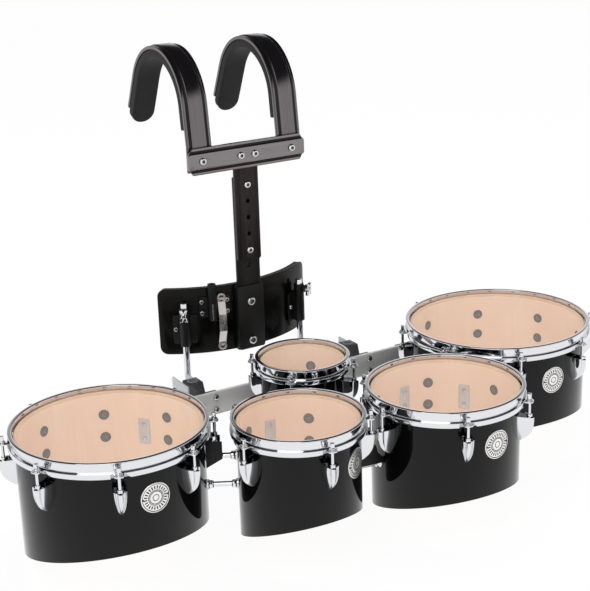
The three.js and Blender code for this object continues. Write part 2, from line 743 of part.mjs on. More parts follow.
// Receiver: a block with a slanted shoulder and a foot bolted behind the bar
function receiver(x) {
  const front = barBackY + SEAT_GAP;
  const [left, right] = [x - RECEIVER_HALF_WIDTH, x + RECEIVER_HALF_WIDTH];
  const footEnd = x + RECEIVER_FOOT;
  const block = upright([
    [left, -RECEIVER_BOTTOM_DROP], [footEnd, -RECEIVER_BOTTOM_DROP], [footEnd, -RECEIVER_FOOT_DROP],
    [right + RECEIVER_SLANT, -RECEIVER_FOOT_DROP], [right, -RECEIVER_TOP_DROP], [left, -RECEIVER_TOP_DROP],
  ], front, RECEIVER_DEPTH);
  const boreHole = raised(
    circle(x, boreY, BUSHING_RADIUS + SEAT_GAP, BUSHING_SIDES), -RECEIVER_BOTTOM_DROP - OVERRUN,
    RECEIVER_BOTTOM_DROP - RECEIVER_TOP_DROP + 2 * OVERRUN,
  );
  const [footBack, blockBack] = [front + RECEIVER_FOOT_DEPTH, front + RECEIVER_DEPTH];
  const relief = raised(
    rectangle(right + RECEIVER_SLANT, footEnd + OVERRUN, footBack, blockBack + OVERRUN),
    -RECEIVER_BOTTOM_DROP - OVERRUN, RECEIVER_BOTTOM_DROP,
  );
  return cut(block, [boreHole, relief]);
}
const boreY = barBackY + SEAT_GAP + RECEIVER_DEPTH / 2;

function bushing(x) {
  const profile = [
    [BUSHING_BORE, -RECEIVER_BOTTOM_DROP], [BUSHING_RADIUS, -RECEIVER_BOTTOM_DROP],
    [BUSHING_RADIUS, -RECEIVER_TOP_DROP + BUSHING_PROUD], [BUSHING_BORE, -RECEIVER_TOP_DROP + BUSHING_PROUD],
  ];
  return ring(profile, BUSHING_SIDES).translate(x, boreY, 0);
}

// A guide plate on one side of a receiver (-1 left, 1 right), running back towards the player.
// The left one starts at the bar; the foot is in the right one's way, so it starts behind the block.
function guide(x, side) {
  const front = barBackY + SEAT_GAP;
  const start = side < 0 ? front : front + RECEIVER_DEPTH + SEAT_GAP;
  const face = x + side * RECEIVER_HALF_WIDTH;
  const [left, right] = side < 0
    ? [face - SEAT_GAP - GUIDE_THICKNESS, face - SEAT_GAP]
    : [face - GUIDE_THICKNESS, face];
  const outline = rectangle(left, right, start, front + GUIDE_LENGTH);
  return raised(outline, -GUIDE_DROP - GUIDE_HEIGHT, GUIDE_HEIGHT);
}

// Ties between neighbours, in the plane through both drums' axes

const TIED = [['drum_12', 'drum_8'], ['drum_8', 'drum_10'], ['drum_10', 'drum_13']];

function span(from, to) {
  const [a, b] = [places[from], places[to]];
  const length = Math.hypot(b.x - a.x, b.y - a.y);
  return {
    start: radiusOf(from) + SEAT_GAP,
    end: length - radiusOf(to) - SEAT_GAP,
    bearing: directionTo(from, to),
    origin: a,
  };
}

// Moves a geometry whose X runs from the first drum's axis to the second's
function alongSpan(geometry, { bearing, origin }) {
  return geometry.rotateZ(bearing).translate(origin.x, origin.y, 0);
}

// A tube with the socket that it is pressed into at each end
function tieRod(from, to, drop) {
  const gap = span(from, to);
  const ends = [new THREE.Vector3(gap.start, 0, 0), new THREE.Vector3(gap.end, 0, 0)];
  const rod = tube(ends, TIE_RADIUS, TIE_SIDES);
  const socket = revolve([
    [0, 0], [SOCKET_FLANGE_RADIUS, 0], [SOCKET_NECK_RADIUS, SOCKET_LENGTH], [0, SOCKET_LENGTH],
  ], TIE_SIDES);
  const first = socket.clone().rotateY(Math.PI / 2).translate(gap.start, 0, 0);
  const second = socket.clone().rotateY(-Math.PI / 2).translate(gap.end, 0, 0);
  return alongSpan(join([rod, first, second]).translate(0, 0, -drop), gap);
}

// A triangular gusset beside the 12 inch shell, in front of the upper tie rod
function gussetPlate() {
  const gap = span('drum_12', 'drum_8');
  const back = -SOCKET_FLANGE_RADIUS - SEAT_GAP;
  const edge = gap.start + SEAT_GAP;
  const outline = [
    [edge, -GUSSET_BOTTOM_DROP], [edge + GUSSET_LENGTH, -TIE_UPPER_DROP],
    [edge + GUSSET_LENGTH, -GUSSET_TOP_DROP], [edge, -GUSSET_TOP_DROP],
  ];
  return alongSpan(upright(outline, back - PLATE_THICKNESS, PLATE_THICKNESS), gap);
}

// A waisted plate that bridges the 8 and 10 inch shells above the lower tie rod
function bridgePlate() {
  const gap = span('drum_8', 'drum_10');
  const back = -SOCKET_FLANGE_RADIUS - SEAT_GAP;
  const bottom = -TIE_LOWER_DROP + TIE_RADIUS;
  const height = -BRIDGE_TOP_DROP - bottom;
  const middle = (gap.start + gap.end) / 2;
  const reach = (gap.end - gap.start) / 2;
  const sideAt = (side) => BRIDGE_OUTLINE_SHARES.map(
    ({ up, out }) => [middle + side * reach * out, bottom + up * height],
  );
  const outline = [
    ...sideAt(1), [middle + BRIDGE_NECK_HALF_WIDTH, -BRIDGE_TOP_DROP],
    [middle - BRIDGE_NECK_HALF_WIDTH, -BRIDGE_TOP_DROP], ...sideAt(-1).reverse(),
  ];
  return alongSpan(upright(outline, back - PLATE_THICKNESS, PLATE_THICKNESS), gap);
}

// Carrier: places on the bowed belly plate

const bellyFrontY = barBackY + BELLY_FROM_BAR;
const bellyCentreY = bellyFrontY + BELLY_RADIUS;

// The point at a distance in front of the plate, and the bearing it faces, for an offset from the middle
function onBelly(offset, standoff) {
  const reach = BELLY_RADIUS + standoff;
  const angle = Math.asin(offset / reach);
  return { x: CARRIER_X + offset, y: bellyCentreY - reach * Math.cos(angle), angle };
}

// Moves a geometry made in front of the plate's middle round to an offset; its Y is out from the plate
function roundBelly(geometry, offset, standoff = 0) {
  const { angle } = onBelly(offset, standoff);
  return geometry.translate(0, -BELLY_RADIUS, 0).rotateZ(angle).translate(CARRIER_X, bellyCentreY, 0);
}

// A point behind the plate's front face
function bellyPoint(angle, depth, z) {
  const reach = BELLY_RADIUS - depth;
  return new THREE.Vector3(CARRIER_X + reach * Math.sin(angle), bellyCentreY - reach * Math.cos(angle), z);
}

// How far a rounded corner lowers the edge, for a share of the way from the middle to the side
function cornerTrim(share, half) {
  const past = Math.max(0, BELLY_CORNER - (1 - Math.abs(share)) * half);
  return BELLY_CORNER - Math.sqrt(Math.max(0, BELLY_CORNER ** 2 - past ** 2));
}
const bellyBottom = BELLY_TOP - BELLY_HEIGHT;

const hookOffsets = [-HOOK_SPACING / 2, HOOK_SPACING / 2];

function hookRod(offset, receiverX) {
  const shank = onBelly(offset, CLAMP_STANDOFF);
  const foot = new THREE.Vector3(shank.x, shank.y, -HOOK_RUN_DROP);
  const toe = new THREE.Vector3(receiverX, boreY, -HOOK_RUN_DROP);
  const along = toe.clone().sub(foot).normalize();
  const up = new THREE.Vector3(0, 0, 1);
  const bend = (corner, inward, swing) => Array.from({ length: HOOK_BEND_STEPS + 1 }, (_, i) => {
    const angle = i / HOOK_BEND_STEPS * Math.PI / 2;
    const centre = corner.clone().addScaledVector(inward, HOOK_BEND).addScaledVector(up, HOOK_BEND);
    const [level, rise] = swing ? [Math.cos(angle), Math.sin(angle)] : [Math.sin(angle), Math.cos(angle)];
    return centre.addScaledVector(inward, -HOOK_BEND * level).addScaledVector(up, -HOOK_BEND * rise);
  });
  const points = [
    new THREE.Vector3(shank.x, shank.y, HOOK_TOP),
    ...bend(foot, along, true),
    ...bend(toe, along.clone().negate(), false),
    new THREE.Vector3(receiverX, boreY, -HOOK_TIP_DROP),
  ];
  return tube(points, HOOK_RADIUS, HOOK_SIDES);
}

// Sections of the bowed plate from one edge to the other, shorter where its corners are rounded
function bowedPlate(thickness, steps) {
  const limit = Math.asin(BELLY_HALF_WIDTH / BELLY_RADIUS);
  return Array.from({ length: steps + 1 }, (_, i) => {
    const share = 2 * i / steps - 1;
    const trim = cornerTrim(share, BELLY_HALF_WIDTH);
    const at = (depth, z) => bellyPoint(share * limit, depth, z);
    return [
      at(0, bellyBottom + trim), at(0, BELLY_TOP - trim),
      at(thickness, BELLY_TOP - trim), at(thickness, bellyBottom + trim),
    ];
  });
}

function bellyPlate() {
  return loft(bowedPlate(BELLY_THICKNESS, BELLY_STEPS), [[0, 1, 2], [0, 2, 3]]);
}

// The pad behind the plate: crowned across and up, with drawn-in edges
function bellyPad() {
  const near = BELLY_THICKNESS + SEAT_GAP;
  const half = BELLY_HALF_WIDTH - BELLY_PAD_INSET;
  const limit = Math.asin(half / BELLY_RADIUS);
  const sections = Array.from({ length: BELLY_STEPS + 1 }, (_, i) => {
    const share = 2 * i / BELLY_STEPS - 1;
    const halfHeight = BELLY_HEIGHT / 2 - BELLY_PAD_INSET - cornerTrim(share, half);
    const drawn = BELLY_PAD_DRAW_IN * (1 - share ** 2) / 2;
    const riseAt = (up) => up * (halfHeight - (Math.abs(up) === 1 ? drawn : 0));
    const at = (depth, up) => bellyPoint(share * limit, depth, BELLY_TOP - BELLY_HEIGHT / 2 + riseAt(up));
    const edge = BELLY_PAD_EDGE_SHARE * (1 - BELLY_PAD_SIDE_SHARE * share ** 4);
    const crown = (up) => BELLY_PAD_THICKNESS * (edge + (1 - edge) * (1 - up ** 2) * (1 - share ** 4));
    return [
      at(near, -BELLY_PAD_BACK_SHARE), at(near, BELLY_PAD_BACK_SHARE),
      ...BELLY_PAD_UP_SHARES.map((up) => at(near + crown(up), up)).reverse(),
    ];
  });
  const count = sections[0].length;
  const fan = Array.from({ length: count - 2 }, (_, i) => [0, i + 1, i + 2]);
  return loft(sections, fan);
}

// Clamp: a tube on a flat foot, with a boss for the wing screw
function clamp(offset) {
  const { angle } = onBelly(offset, CLAMP_STANDOFF);
  const axis = -CLAMP_STANDOFF;
  const tubeHeight = CLAMP_TOP - CLAMP_BOTTOM;
  const half = CLAMP_FOOT_WIDTH / 2;
  const foot = upright(
    chamfered(-half, half, CLAMP_BOTTOM, CLAMP_FOOT_TOP, CLAMP_FOOT_CORNER, CLAMP_FOOT_CORNER),
    -CLAMP_FOOT_THICKNESS - SEAT_GAP, CLAMP_FOOT_THICKNESS,
  );
  const barrel = raised(circle(0, axis, CLAMP_TUBE_RADIUS, CLAMP_SIDES), CLAMP_BOTTOM, tubeHeight);
  const webOutline = rectangle(-CLAMP_WEB, CLAMP_WEB, axis, -CLAMP_FOOT_THICKNESS);
  const web = raised(webOutline, CLAMP_BOTTOM, CLAMP_FOOT_TOP - CLAMP_BOTTOM);
  const bossFront = axis - CLAMP_TUBE_RADIUS - CLAMP_BOSS;
  const boss = barAlongY(0, bossFront, WING_HEIGHT, CLAMP_BOSS_RADIUS, CLAMP_TUBE_RADIUS, WING_SIDES);
  const bore = raised(
    circle(0, axis, HOOK_RADIUS + RUNNING_GAP, CLAMP_SIDES),
    CLAMP_BOTTOM - OVERRUN, tubeHeight + 2 * OVERRUN,
  );
  const screwHole = barAlongY(
    0, bossFront - OVERRUN, WING_HEIGHT, WING_SCREW_RADIUS + RUNNING_GAP,
    CLAMP_TUBE_RADIUS + CLAMP_BOSS + OVERRUN, WING_SIDES,
  );
  const body = cut(join([foot, barrel, web, boss]), [bore, screwHole]);
  return body.translate(0, -BELLY_RADIUS, 0).rotateZ(angle).translate(CARRIER_X, bellyCentreY, 0);
}

// Wing screw: hub, forked wings and the screw that bears on the hook rod
function wingScrew(offset) {
  const { angle } = onBelly(offset, CLAMP_STANDOFF);
  const axis = -CLAMP_STANDOFF;
  const seat = axis - CLAMP_TUBE_RADIUS - CLAMP_BOSS - SEAT_GAP;
  const hub = barAlongY(0, seat - WING_HUB, 0, WING_HUB_RADIUS, WING_HUB, WING_SIDES);
  const screwLength = axis - HOOK_RADIUS - SEAT_GAP - seat;
  const screw = barAlongY(0, seat - SEAT_GAP, 0, WING_SCREW_RADIUS, screwLength, WING_SIDES);
  const [wide, waist] = [WING_WIDTH / 2, WING_WAIST / 2];
  const wings = upright([
    [-wide, -WING_SPAN], [0, waist - WING_SPAN], [wide, -WING_SPAN], [waist, 0], [wide, WING_SPAN],
    [0, WING_SPAN - waist], [-wide, WING_SPAN], [-waist, 0],
  ], seat - WING_HUB - WING_PAST_HUB, WING_THICKNESS);
  return join([hub, screw, wings]).translate(0, -BELLY_RADIUS, WING_HEIGHT).rotateZ(angle)
    .translate(CARRIER_X, bellyCentreY, 0);
}

// Centre socket: a slotted tube on a flat foot
function centreSocket() {
  const axis = -CENTRE_SOCKET_RADIUS - CLAMP_FOOT_THICKNESS;
  const height = CENTRE_SOCKET_TOP - CENTRE_SOCKET_BOTTOM;
  const [middle, half] = [CENTRE_SOCKET_FOOT_SHIFT, CENTRE_SOCKET_FOOT_WIDTH / 2];
  const footBottom = CENTRE_SOCKET_BOTTOM + CENTRE_SOCKET_FOOT_RISE;
  const footTop = footBottom + CENTRE_SOCKET_FOOT_HEIGHT;
  const foot = upright(
    chamfered(middle - half, middle + half, footBottom, footTop, CLAMP_FOOT_CORNER, CLAMP_FOOT_CORNER),
    -CLAMP_FOOT_THICKNESS - SEAT_GAP, CLAMP_FOOT_THICKNESS,
  );
  const barrel = raised(circle(0, axis, CENTRE_SOCKET_RADIUS, CLAMP_SIDES), CENTRE_SOCKET_BOTTOM, height);
  const bore = raised(
    circle(0, axis, CENTRE_SOCKET_BORE, CLAMP_SIDES), CENTRE_SOCKET_BOTTOM - OVERRUN, height + 2 * OVERRUN,
  );
  const slot = raised(
    rectangle(-CENTRE_SOCKET_SLOT / 2, CENTRE_SOCKET_SLOT / 2, axis - CENTRE_SOCKET_RADIUS - OVERRUN, axis),
    CENTRE_SOCKET_BOTTOM - OVERRUN, CENTRE_SOCKET_FOOT_HEIGHT,
  );
  return roundBelly(cut(join([foot, barrel]), [bore, slot]), CENTRE_SOCKET_OFFSET);
}

// Chrome loop: a strap bowed out between two eyes, the upper one seated on the socket's foot
function carryLoop() {
  const t = LOOP_THICKNESS;
  const eye = LOOP_WIDTH / 2;
  const [low, high] = [LOOP_BOTTOM + eye, LOOP_TOP - eye];
  const side = [
    [0, LOOP_BOTTOM - eye], [t, LOOP_BOTTOM - eye], [t, low], [LOOP_BOW, low + LOOP_RAMP],
    [LOOP_BOW, high - LOOP_RAMP], [LOOP_TOP_SEAT + t, high], [LOOP_TOP_SEAT + t, LOOP_TOP + eye],
    [LOOP_TOP_SEAT, LOOP_TOP + eye], [LOOP_TOP_SEAT, high - t / 2],
    [LOOP_BOW - t, high - LOOP_RAMP - t / 2], [LOOP_BOW - t, low + LOOP_RAMP + t / 2], [0, low + t / 2],
  ];
  const strap = upright(side, -LOOP_WIDTH / 2, LOOP_WIDTH).rotateZ(-Math.PI / 2);
  const plan = [LOOP_TOP, LOOP_BOTTOM].map((z) => circle(0, z, eye, CLAMP_SIDES));
  const waist = LOOP_WIDTH * LOOP_WAIST_SHARE / 2;
  const middle = rectangle(-waist, waist, LOOP_BOTTOM, LOOP_TOP);
  const outline = join([...plan, middle].map(
    (points) => upright(points, -LOOP_BOW - OVERRUN, LOOP_BOW + 2 * OVERRUN),
  ));
  return roundBelly(common(strap, outline).translate(0, -SEAT_GAP, 0), LOOP_OFFSET);
}

// The grooved section as [across, thickness] points, flat on its back
function sectionOutline(width, thickness) {
  const right = SECTION_SHARES.map(
    ({ across, groove }) => [across * width / 2, thickness - groove * SECTION_GROOVE_DEPTH],
  );
  const left = right.map(([x, y]) => [-x, y]).reverse();
  return [[-width / 2, 0], [width / 2, 0], ...right, ...left];
}

// The column: y positions follow from the belly plate forwards
const columnBarBackY = bellyFrontY - BRACKET_FLOOR - 2 * SEAT_GAP;
const columnBarFrontY = columnBarBackY - COLUMN_BAR_THICKNESS;
const columnStrapBackY = columnBarFrontY - RUNNING_GAP;
const columnStrapFrontY = columnStrapBackY - SECTION_THICKNESS;
const tBarFrontY = columnStrapFrontY - SEAT_GAP - SECTION_THICKNESS;
const tBarTop = T_BAR_BOTTOM + SECTION_WIDTH;
const columnStrapTop = tBarTop - COLUMN_STRAP_TOP_DROP;
const tBarMiddle = T_BAR_BOTTOM + SECTION_WIDTH / 2;
const holeAt = (i) => COLUMN_FIRST_HOLE + i * COLUMN_HOLE_PITCH;
const columnHoles = Array.from({ length: COLUMN_HOLE_COUNT }, (_, i) => holeAt(i));
const columnScrewXs = [-1, 1].map((side) => CARRIER_X + side * COLUMN_SCREW_SPACING / 2);
const strapXs = [-1, 1].map((side) => CARRIER_X + side * STRAP_SPACING / 2);

// A hole along Y that passes right through the pieces of the column
function throughHole(x, z, radius) {
  const length = bellyFrontY - tBarFrontY + 2 * OVERRUN;
  return barAlongY(x, tBarFrontY - OVERRUN, z, radius, length, WING_SIDES);
}

function columnStrap() {
  const height = columnStrapTop - COLUMN_STRAP_BOTTOM;
  const bar = raised(sectionOutline(SECTION_WIDTH, SECTION_THICKNESS), COLUMN_STRAP_BOTTOM, height)
    .rotateZ(Math.PI).translate(CARRIER_X, columnStrapBackY, 0);
  const half = SECTION_WIDTH / 2;
  const corner = COLUMN_STRAP_CORNER;
  const window = upright([
    [CARRIER_X - half + corner, COLUMN_STRAP_BOTTOM], [CARRIER_X + half - corner, COLUMN_STRAP_BOTTOM],
    [CARRIER_X + half, COLUMN_STRAP_BOTTOM + corner], [CARRIER_X + half, columnStrapTop],
    [CARRIER_X - half, columnStrapTop], [CARRIER_X - half, COLUMN_STRAP_BOTTOM + corner],
  ], columnStrapFrontY - OVERRUN, SECTION_THICKNESS + 2 * OVERRUN);
  const holes = [
    ...columnHoles.map((z) => throughHole(CARRIER_X, z, COLUMN_HOLE_RADIUS)),
    ...columnScrewXs.map((x) => throughHole(x, tBarMiddle, SCREW_RADIUS + SCREW_HOLE_GAP)),
  ];
  return cut(common(bar, window), holes);
}

// The column's lower bar, with a groove down its front that the strap's screws slide and clamp in
function columnBar() {
  const half = SECTION_WIDTH / 2;
  const bar = upright(
    rectangle(CARRIER_X - half, CARRIER_X + half, COVER_BOTTOM, COLUMN_BAR_TOP),
    columnBarFrontY, COLUMN_BAR_THICKNESS,
  );
  const groove = upright(
    rectangle(
      CARRIER_X - COLUMN_GROOVE_WIDTH / 2, CARRIER_X + COLUMN_GROOVE_WIDTH / 2,
      COLUMN_FIRST_HOLE - COLUMN_GROOVE_PAST, COLUMN_BAR_TOP + OVERRUN,
    ),
    columnBarFrontY - OVERRUN, OVERRUN + COLUMN_GROOVE_DEPTH,
  );
  return cut(bar, [groove]);
}

function columnScrew(z) {
  const seat = columnStrapFrontY - SEAT_GAP;
  const length = columnBarFrontY - seat + COLUMN_GROOVE_DEPTH - SEAT_GAP;
  return boltAlongY(CARRIER_X, seat, z, BUTTON_RADIUS, BUTTON_HEIGHT, SCREW_RADIUS, length, BUTTON_SIDES);
}

// Channel bracket that seats the column's lower bar against the belly plate
function columnBracket() {
  const inner = SECTION_WIDTH / 2 + SEAT_GAP;
  const outer = inner + BRACKET_WALL;
  const front = columnBarFrontY;
  const back = bellyFrontY - SEAT_GAP;
  return raised([
    [-outer, back], [-outer, front], [-inner, front], [-inner, columnBarBackY + SEAT_GAP],
    [inner, columnBarBackY + SEAT_GAP], [inner, front], [outer, front], [outer, back],
  ], COVER_BOTTOM, COVER_TOP - COVER_BOTTOM).translate(CARRIER_X, 0, 0);
}

function bracketCover() {
  const half = SECTION_WIDTH / 2 + SEAT_GAP + BRACKET_WALL;
  const outline = chamfered(
    CARRIER_X - half, CARRIER_X + half, COVER_BOTTOM, COVER_TOP, BRACKET_WALL, BRACKET_WALL,
  );
  return upright(outline, columnBarFrontY - SEAT_GAP - COVER_THICKNESS, COVER_THICKNESS);
}

function tBar() {
  const outline = sectionOutline(SECTION_WIDTH, SECTION_THICKNESS);
  const bar = raised(outline, -T_BAR_LENGTH / 2, T_BAR_LENGTH)
    .rotateZ(Math.PI).rotateY(Math.PI / 2)
    .translate(CARRIER_X, tBarFrontY + SECTION_THICKNESS, tBarMiddle);
  const half = T_BAR_LENGTH / 2;
  const window = upright(
    chamfered(CARRIER_X - half, CARRIER_X + half, T_BAR_BOTTOM, tBarTop, T_BAR_CHAMFER, T_BAR_CHAMFER_HEIGHT),
    tBarFrontY - OVERRUN, SECTION_THICKNESS + 2 * OVERRUN,
  );
  const holes = [...columnScrewXs, ...strapXs].map(
    (x) => throughHole(x, tBarMiddle, SCREW_RADIUS + SCREW_HOLE_GAP),
  );
  return cut(common(bar, window), holes);
}

// A button screw through the T-bar, with its nut behind the column strap or shoulder strap
function tBarScrew(x) {
  const seat = tBarFrontY - SEAT_GAP;
  const nutAt = columnStrapBackY + SEAT_GAP;
  const length = nutAt - seat + NUT_HEIGHT;
  return join([
    boltAlongY(x, seat, tBarMiddle, BUTTON_RADIUS, BUTTON_HEIGHT, SCREW_RADIUS, length, BUTTON_SIDES),
    barAlongY(x, nutAt, tBarMiddle, NUT_RADIUS, NUT_HEIGHT, NUT_SIDES),
  ]);
}

// The shoulder strap's way: stations with a place (y, z) on its outer face and the heading there
function strapStations() {
  const stations = [];
  const point = { y: columnStrapFrontY, z: STRAP_BOTTOM };
  const push = (heading, kind) => stations.push({ ...point, heading, kind });
  const advance = (heading, length) => {
    point.y += length * Math.sin(heading);
    point.z += length * Math.cos(heading);
  };
  push(0, 'bottom');
  advance(0, STRAP_LEAN_START - STRAP_BOTTOM);
  push(STRAP_LEAN_ANGLE * DEGREE / 2, 'bend');
  advance(STRAP_LEAN_ANGLE * DEGREE, SHOULDER_PAD_FRONT);
  push(STRAP_LEAN_ANGLE * DEGREE, 'padFront');
  advance(STRAP_LEAN_ANGLE * DEGREE, STRAP_LEAN_LENGTH - SHOULDER_PAD_FRONT);
  push(STRAP_LEAN_ANGLE * DEGREE, 'leg');
  const first = STRAP_LEAN_ANGLE * DEGREE;
  const last = Math.PI - STRAP_BACK_LEAN_ANGLE * DEGREE;
  const centre = {
    y: point.y + STRAP_SHOULDER_RADIUS * Math.cos(first),
    z: point.z - STRAP_SHOULDER_RADIUS * Math.sin(first),
  };
  for (let i = 1; i <= STRAP_ARC_STEPS; i += 1) {
    const heading = first + (last - first) * i / STRAP_ARC_STEPS;
    point.y = centre.y - STRAP_SHOULDER_RADIUS * Math.cos(heading);
    point.z = centre.z + STRAP_SHOULDER_RADIUS * Math.sin(heading);
    push(heading, 'arc');
  }
  advance(last, STRAP_BACK_LENGTH);
  push(last, 'strapEnd');
  return stations;
}

// A point at a station: across the strap, and in from its outer face
function atStation({ y, z, heading }, x, across, inward) {
  return new THREE.Vector3(x + across, y + inward * Math.cos(heading), z - inward * Math.sin(heading));
}

function shoulderStrap(x) {
  const outline = sectionOutline(SECTION_WIDTH, SECTION_THICKNESS);
  const sections = strapStations().map((station) => outline.map(
    ([across, thick]) => atStation(station, x, across, SECTION_THICKNESS - thick),
  ));
  const body = loft(sections, capOf(outline));
  return cut(body, [throughHole(x, tBarMiddle, SCREW_RADIUS + SCREW_HOLE_GAP)]);
}

// The foam pad under a shoulder strap: crowned, with drawn-in sides and a rounded back end
function shoulderPad(x) {
  const padKinds = ['padFront', 'leg', 'arc', 'strapEnd'];
  const stations = strapStations().filter(({ kind }) => padKinds.includes(kind));
  const end = stations[stations.length - 1];
  const half = SHOULDER_PAD_WIDTH / 2;
  const sized = stations.map((station) => ({ station, wide: 1, thick: 1 }));
  sized[0].thick = PAD_FRONT_THICK_SHARE;
  sized.pop();
  for (let i = 0; i <= SHOULDER_PAD_END_STEPS; i += 1) {
    const share = i / SHOULDER_PAD_END_STEPS;
    const reach = (SHOULDER_PAD_PAST + half) * share - half;
    const station = {
      y: end.y + reach * Math.sin(end.heading),
      z: end.z + reach * Math.cos(end.heading),
      heading: end.heading,
    };
    const past = Math.max(0, reach - (SHOULDER_PAD_PAST - half)) / half;
    const wide = Math.max(PAD_TAIL_WIDE_SHARE, Math.sqrt(Math.max(0, 1 - past ** 2)));
    sized.push({ station, wide, thick: PAD_TAIL_THICK_SHARE + (1 - PAD_TAIL_THICK_SHARE) * wide });
  }
  const gap = SECTION_THICKNESS + SEAT_GAP;
  const sections = sized.map(({ station, wide, thick }) => PAD_OUTLINE_SHARES.map(
    ([across, deep]) => atStation(
      station, x, across * wide * half, gap + deep * thick * SHOULDER_PAD_THICKNESS,
    ),
  ));
  return loft(sections, capOf(PAD_OUTLINE_SHARES));
}

// Assembly

const tenors = new THREE.Group();
for (const name of Object.keys(DRUMS)) tenors.add(makeDrum(name));

tenors.add(
  mesh('crossbar', crossbar(), satin()),
  mesh('mount_block_12', mountBlock('drum_12'), moulded()),
  mesh('mount_block_6', mountBlock('drum_6'), moulded()),
  mesh('end_bracket_13', endBracket(), coated()),
  mesh('gusset_plate', gussetPlate(), coated()),
  mesh('bridge_plate', bridgePlate(), coated()),
);

for (const [from, to] of TIED) {
  const pair = `${from.slice(5)}_${to.slice(5)}`;
  tenors.add(mesh(`tie_rod_${pair}_upper`, tieRod(from, to, TIE_UPPER_DROP), chrome()));
  tenors.add(mesh(`tie_rod_${pair}_lower`, tieRod(from, to, TIE_LOWER_DROP), chrome()));
}

['left', 'right'].forEach((side, i) => {
  tenors.add(
    mesh(`receiver_${side}`, receiver(receiverXs[i]), coated()),
    mesh(`receiver_bushing_${side}`, bushing(receiverXs[i]), moulded()),
    mesh(`receiver_guide_${side}_a`, guide(receiverXs[i], -1), satin()),
    mesh(`receiver_guide_${side}_b`, guide(receiverXs[i], 1), satin()),
    mesh(`hook_rod_${side}`, hookRod(hookOffsets[i], receiverXs[i]), chrome()),
    mesh(`rod_clamp_${side}`, clamp(hookOffsets[i]), coated()),
    mesh(`wing_screw_${side}`, wingScrew(hookOffsets[i]), chrome()),
    mesh(`t_bar_screw_${side}`, tBarScrew(columnScrewXs[i]), chrome()),
    mesh(`pivot_screw_${side}`, tBarScrew(strapXs[i]), chrome()),
    mesh(`shoulder_strap_${side}`, shoulderStrap(strapXs[i]), anodised()),
    mesh(`shoulder_pad_${side}`, shoulderPad(strapXs[i]), foam()),
  );
});

tenors.add(
  mesh('belly_plate', bellyPlate(), gloss()),
  mesh('belly_pad', bellyPad(), foam()),
  mesh('centre_socket', centreSocket(), coated()),
  mesh('carry_loop', carryLoop(), chrome()),
  mesh('column_bracket', columnBracket(), coated()),
  mesh('bracket_cover', bracketCover(), coated()),
  mesh('column_bar', columnBar(), coated()),
  mesh('column_strap', columnStrap(), anodised()),
  mesh('column_screw_lower', columnScrew(columnHoles[0]), chrome()),
  mesh('column_screw_upper', columnScrew(columnHoles[COLUMN_HOLE_COUNT - 1]), chrome()),
  mesh('t_bar', tBar(), anodised()),
);

// Stand the set on the floor, with the middle of its footprint at the origin.
const box = new THREE.Box3().setFromObject(tenors);
const middle = box.getCenter(new THREE.Vector3());
tenors.position.set(-middle.x, -middle.y, -box.min.z);

export default tenors;
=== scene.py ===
"""Marching tenor drums, dressed: five drums on one crossbar, hung from a shoulder carrier.

Sizes are in millimetres, as on a maker's drawing, and are turned to metres when a piece is
finished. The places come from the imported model: +X runs along the crossbar, -Y is the side that
the audience sees, +Z is up, and heights are given from the plane of the drums' rims. Left and
right are as seen from the front.
"""

import json
import logging
import math
from dataclasses import dataclass
from enum import Enum
from typing import Iterable, Sequence

import bmesh
import bpy
from bmesh.types import BMEdge, BMFace, BMVert
from mathutils import Matrix, Vector, noise

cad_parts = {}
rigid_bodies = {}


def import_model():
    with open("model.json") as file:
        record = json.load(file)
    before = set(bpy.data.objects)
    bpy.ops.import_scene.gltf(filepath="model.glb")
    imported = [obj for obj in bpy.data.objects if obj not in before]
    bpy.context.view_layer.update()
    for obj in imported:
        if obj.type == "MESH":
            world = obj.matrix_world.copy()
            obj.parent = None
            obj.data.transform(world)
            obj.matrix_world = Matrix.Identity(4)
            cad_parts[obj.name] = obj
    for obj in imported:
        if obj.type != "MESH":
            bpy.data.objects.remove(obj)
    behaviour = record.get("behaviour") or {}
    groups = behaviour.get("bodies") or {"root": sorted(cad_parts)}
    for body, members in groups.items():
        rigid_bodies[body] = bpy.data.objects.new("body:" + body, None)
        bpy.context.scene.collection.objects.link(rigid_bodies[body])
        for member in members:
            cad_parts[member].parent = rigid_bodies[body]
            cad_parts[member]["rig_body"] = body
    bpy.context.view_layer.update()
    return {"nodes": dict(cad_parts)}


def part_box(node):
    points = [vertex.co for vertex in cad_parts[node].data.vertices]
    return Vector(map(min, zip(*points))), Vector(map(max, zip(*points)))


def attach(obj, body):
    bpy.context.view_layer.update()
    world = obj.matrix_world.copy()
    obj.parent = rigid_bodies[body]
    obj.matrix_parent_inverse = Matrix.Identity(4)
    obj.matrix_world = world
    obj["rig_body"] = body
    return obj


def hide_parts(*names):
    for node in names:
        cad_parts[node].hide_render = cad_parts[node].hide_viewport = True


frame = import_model()

MM = 0.001
FULL_TURN = 2 * math.pi
LOG = logging.getLogger("tenor_drums")

Point = tuple[float, float]
Place = tuple[float, float, float]
Tree = bpy.types.NodeTree
Node = bpy.types.Node
Output = bpy.types.NodeSocket
WHITE = (1.0, 1.0, 1.0, 1.0)


class Slot(str, Enum):
    """The material slots that the record names."""

    LACQUER = "shell_lacquer"
    FILM = "head_film"
    CHROME = "chrome_plate"
    BARE_ALUMINIUM = "bare_aluminium"
    BLACK_ALUMINIUM = "black_aluminium"
    ANODISED = "black_anodised"
    COATED_STEEL = "black_coated_steel"
    BLACK_NYLON = "black_nylon"
    GREY_NYLON = "grey_nylon"
    FOAM = "black_foam"


class Body(str, Enum):
    """The bodies of the pieces that stand for no CAD node."""

    DRUM_FRAME = "drum_frame"
    CARRIER_BASE = "carrier_base"


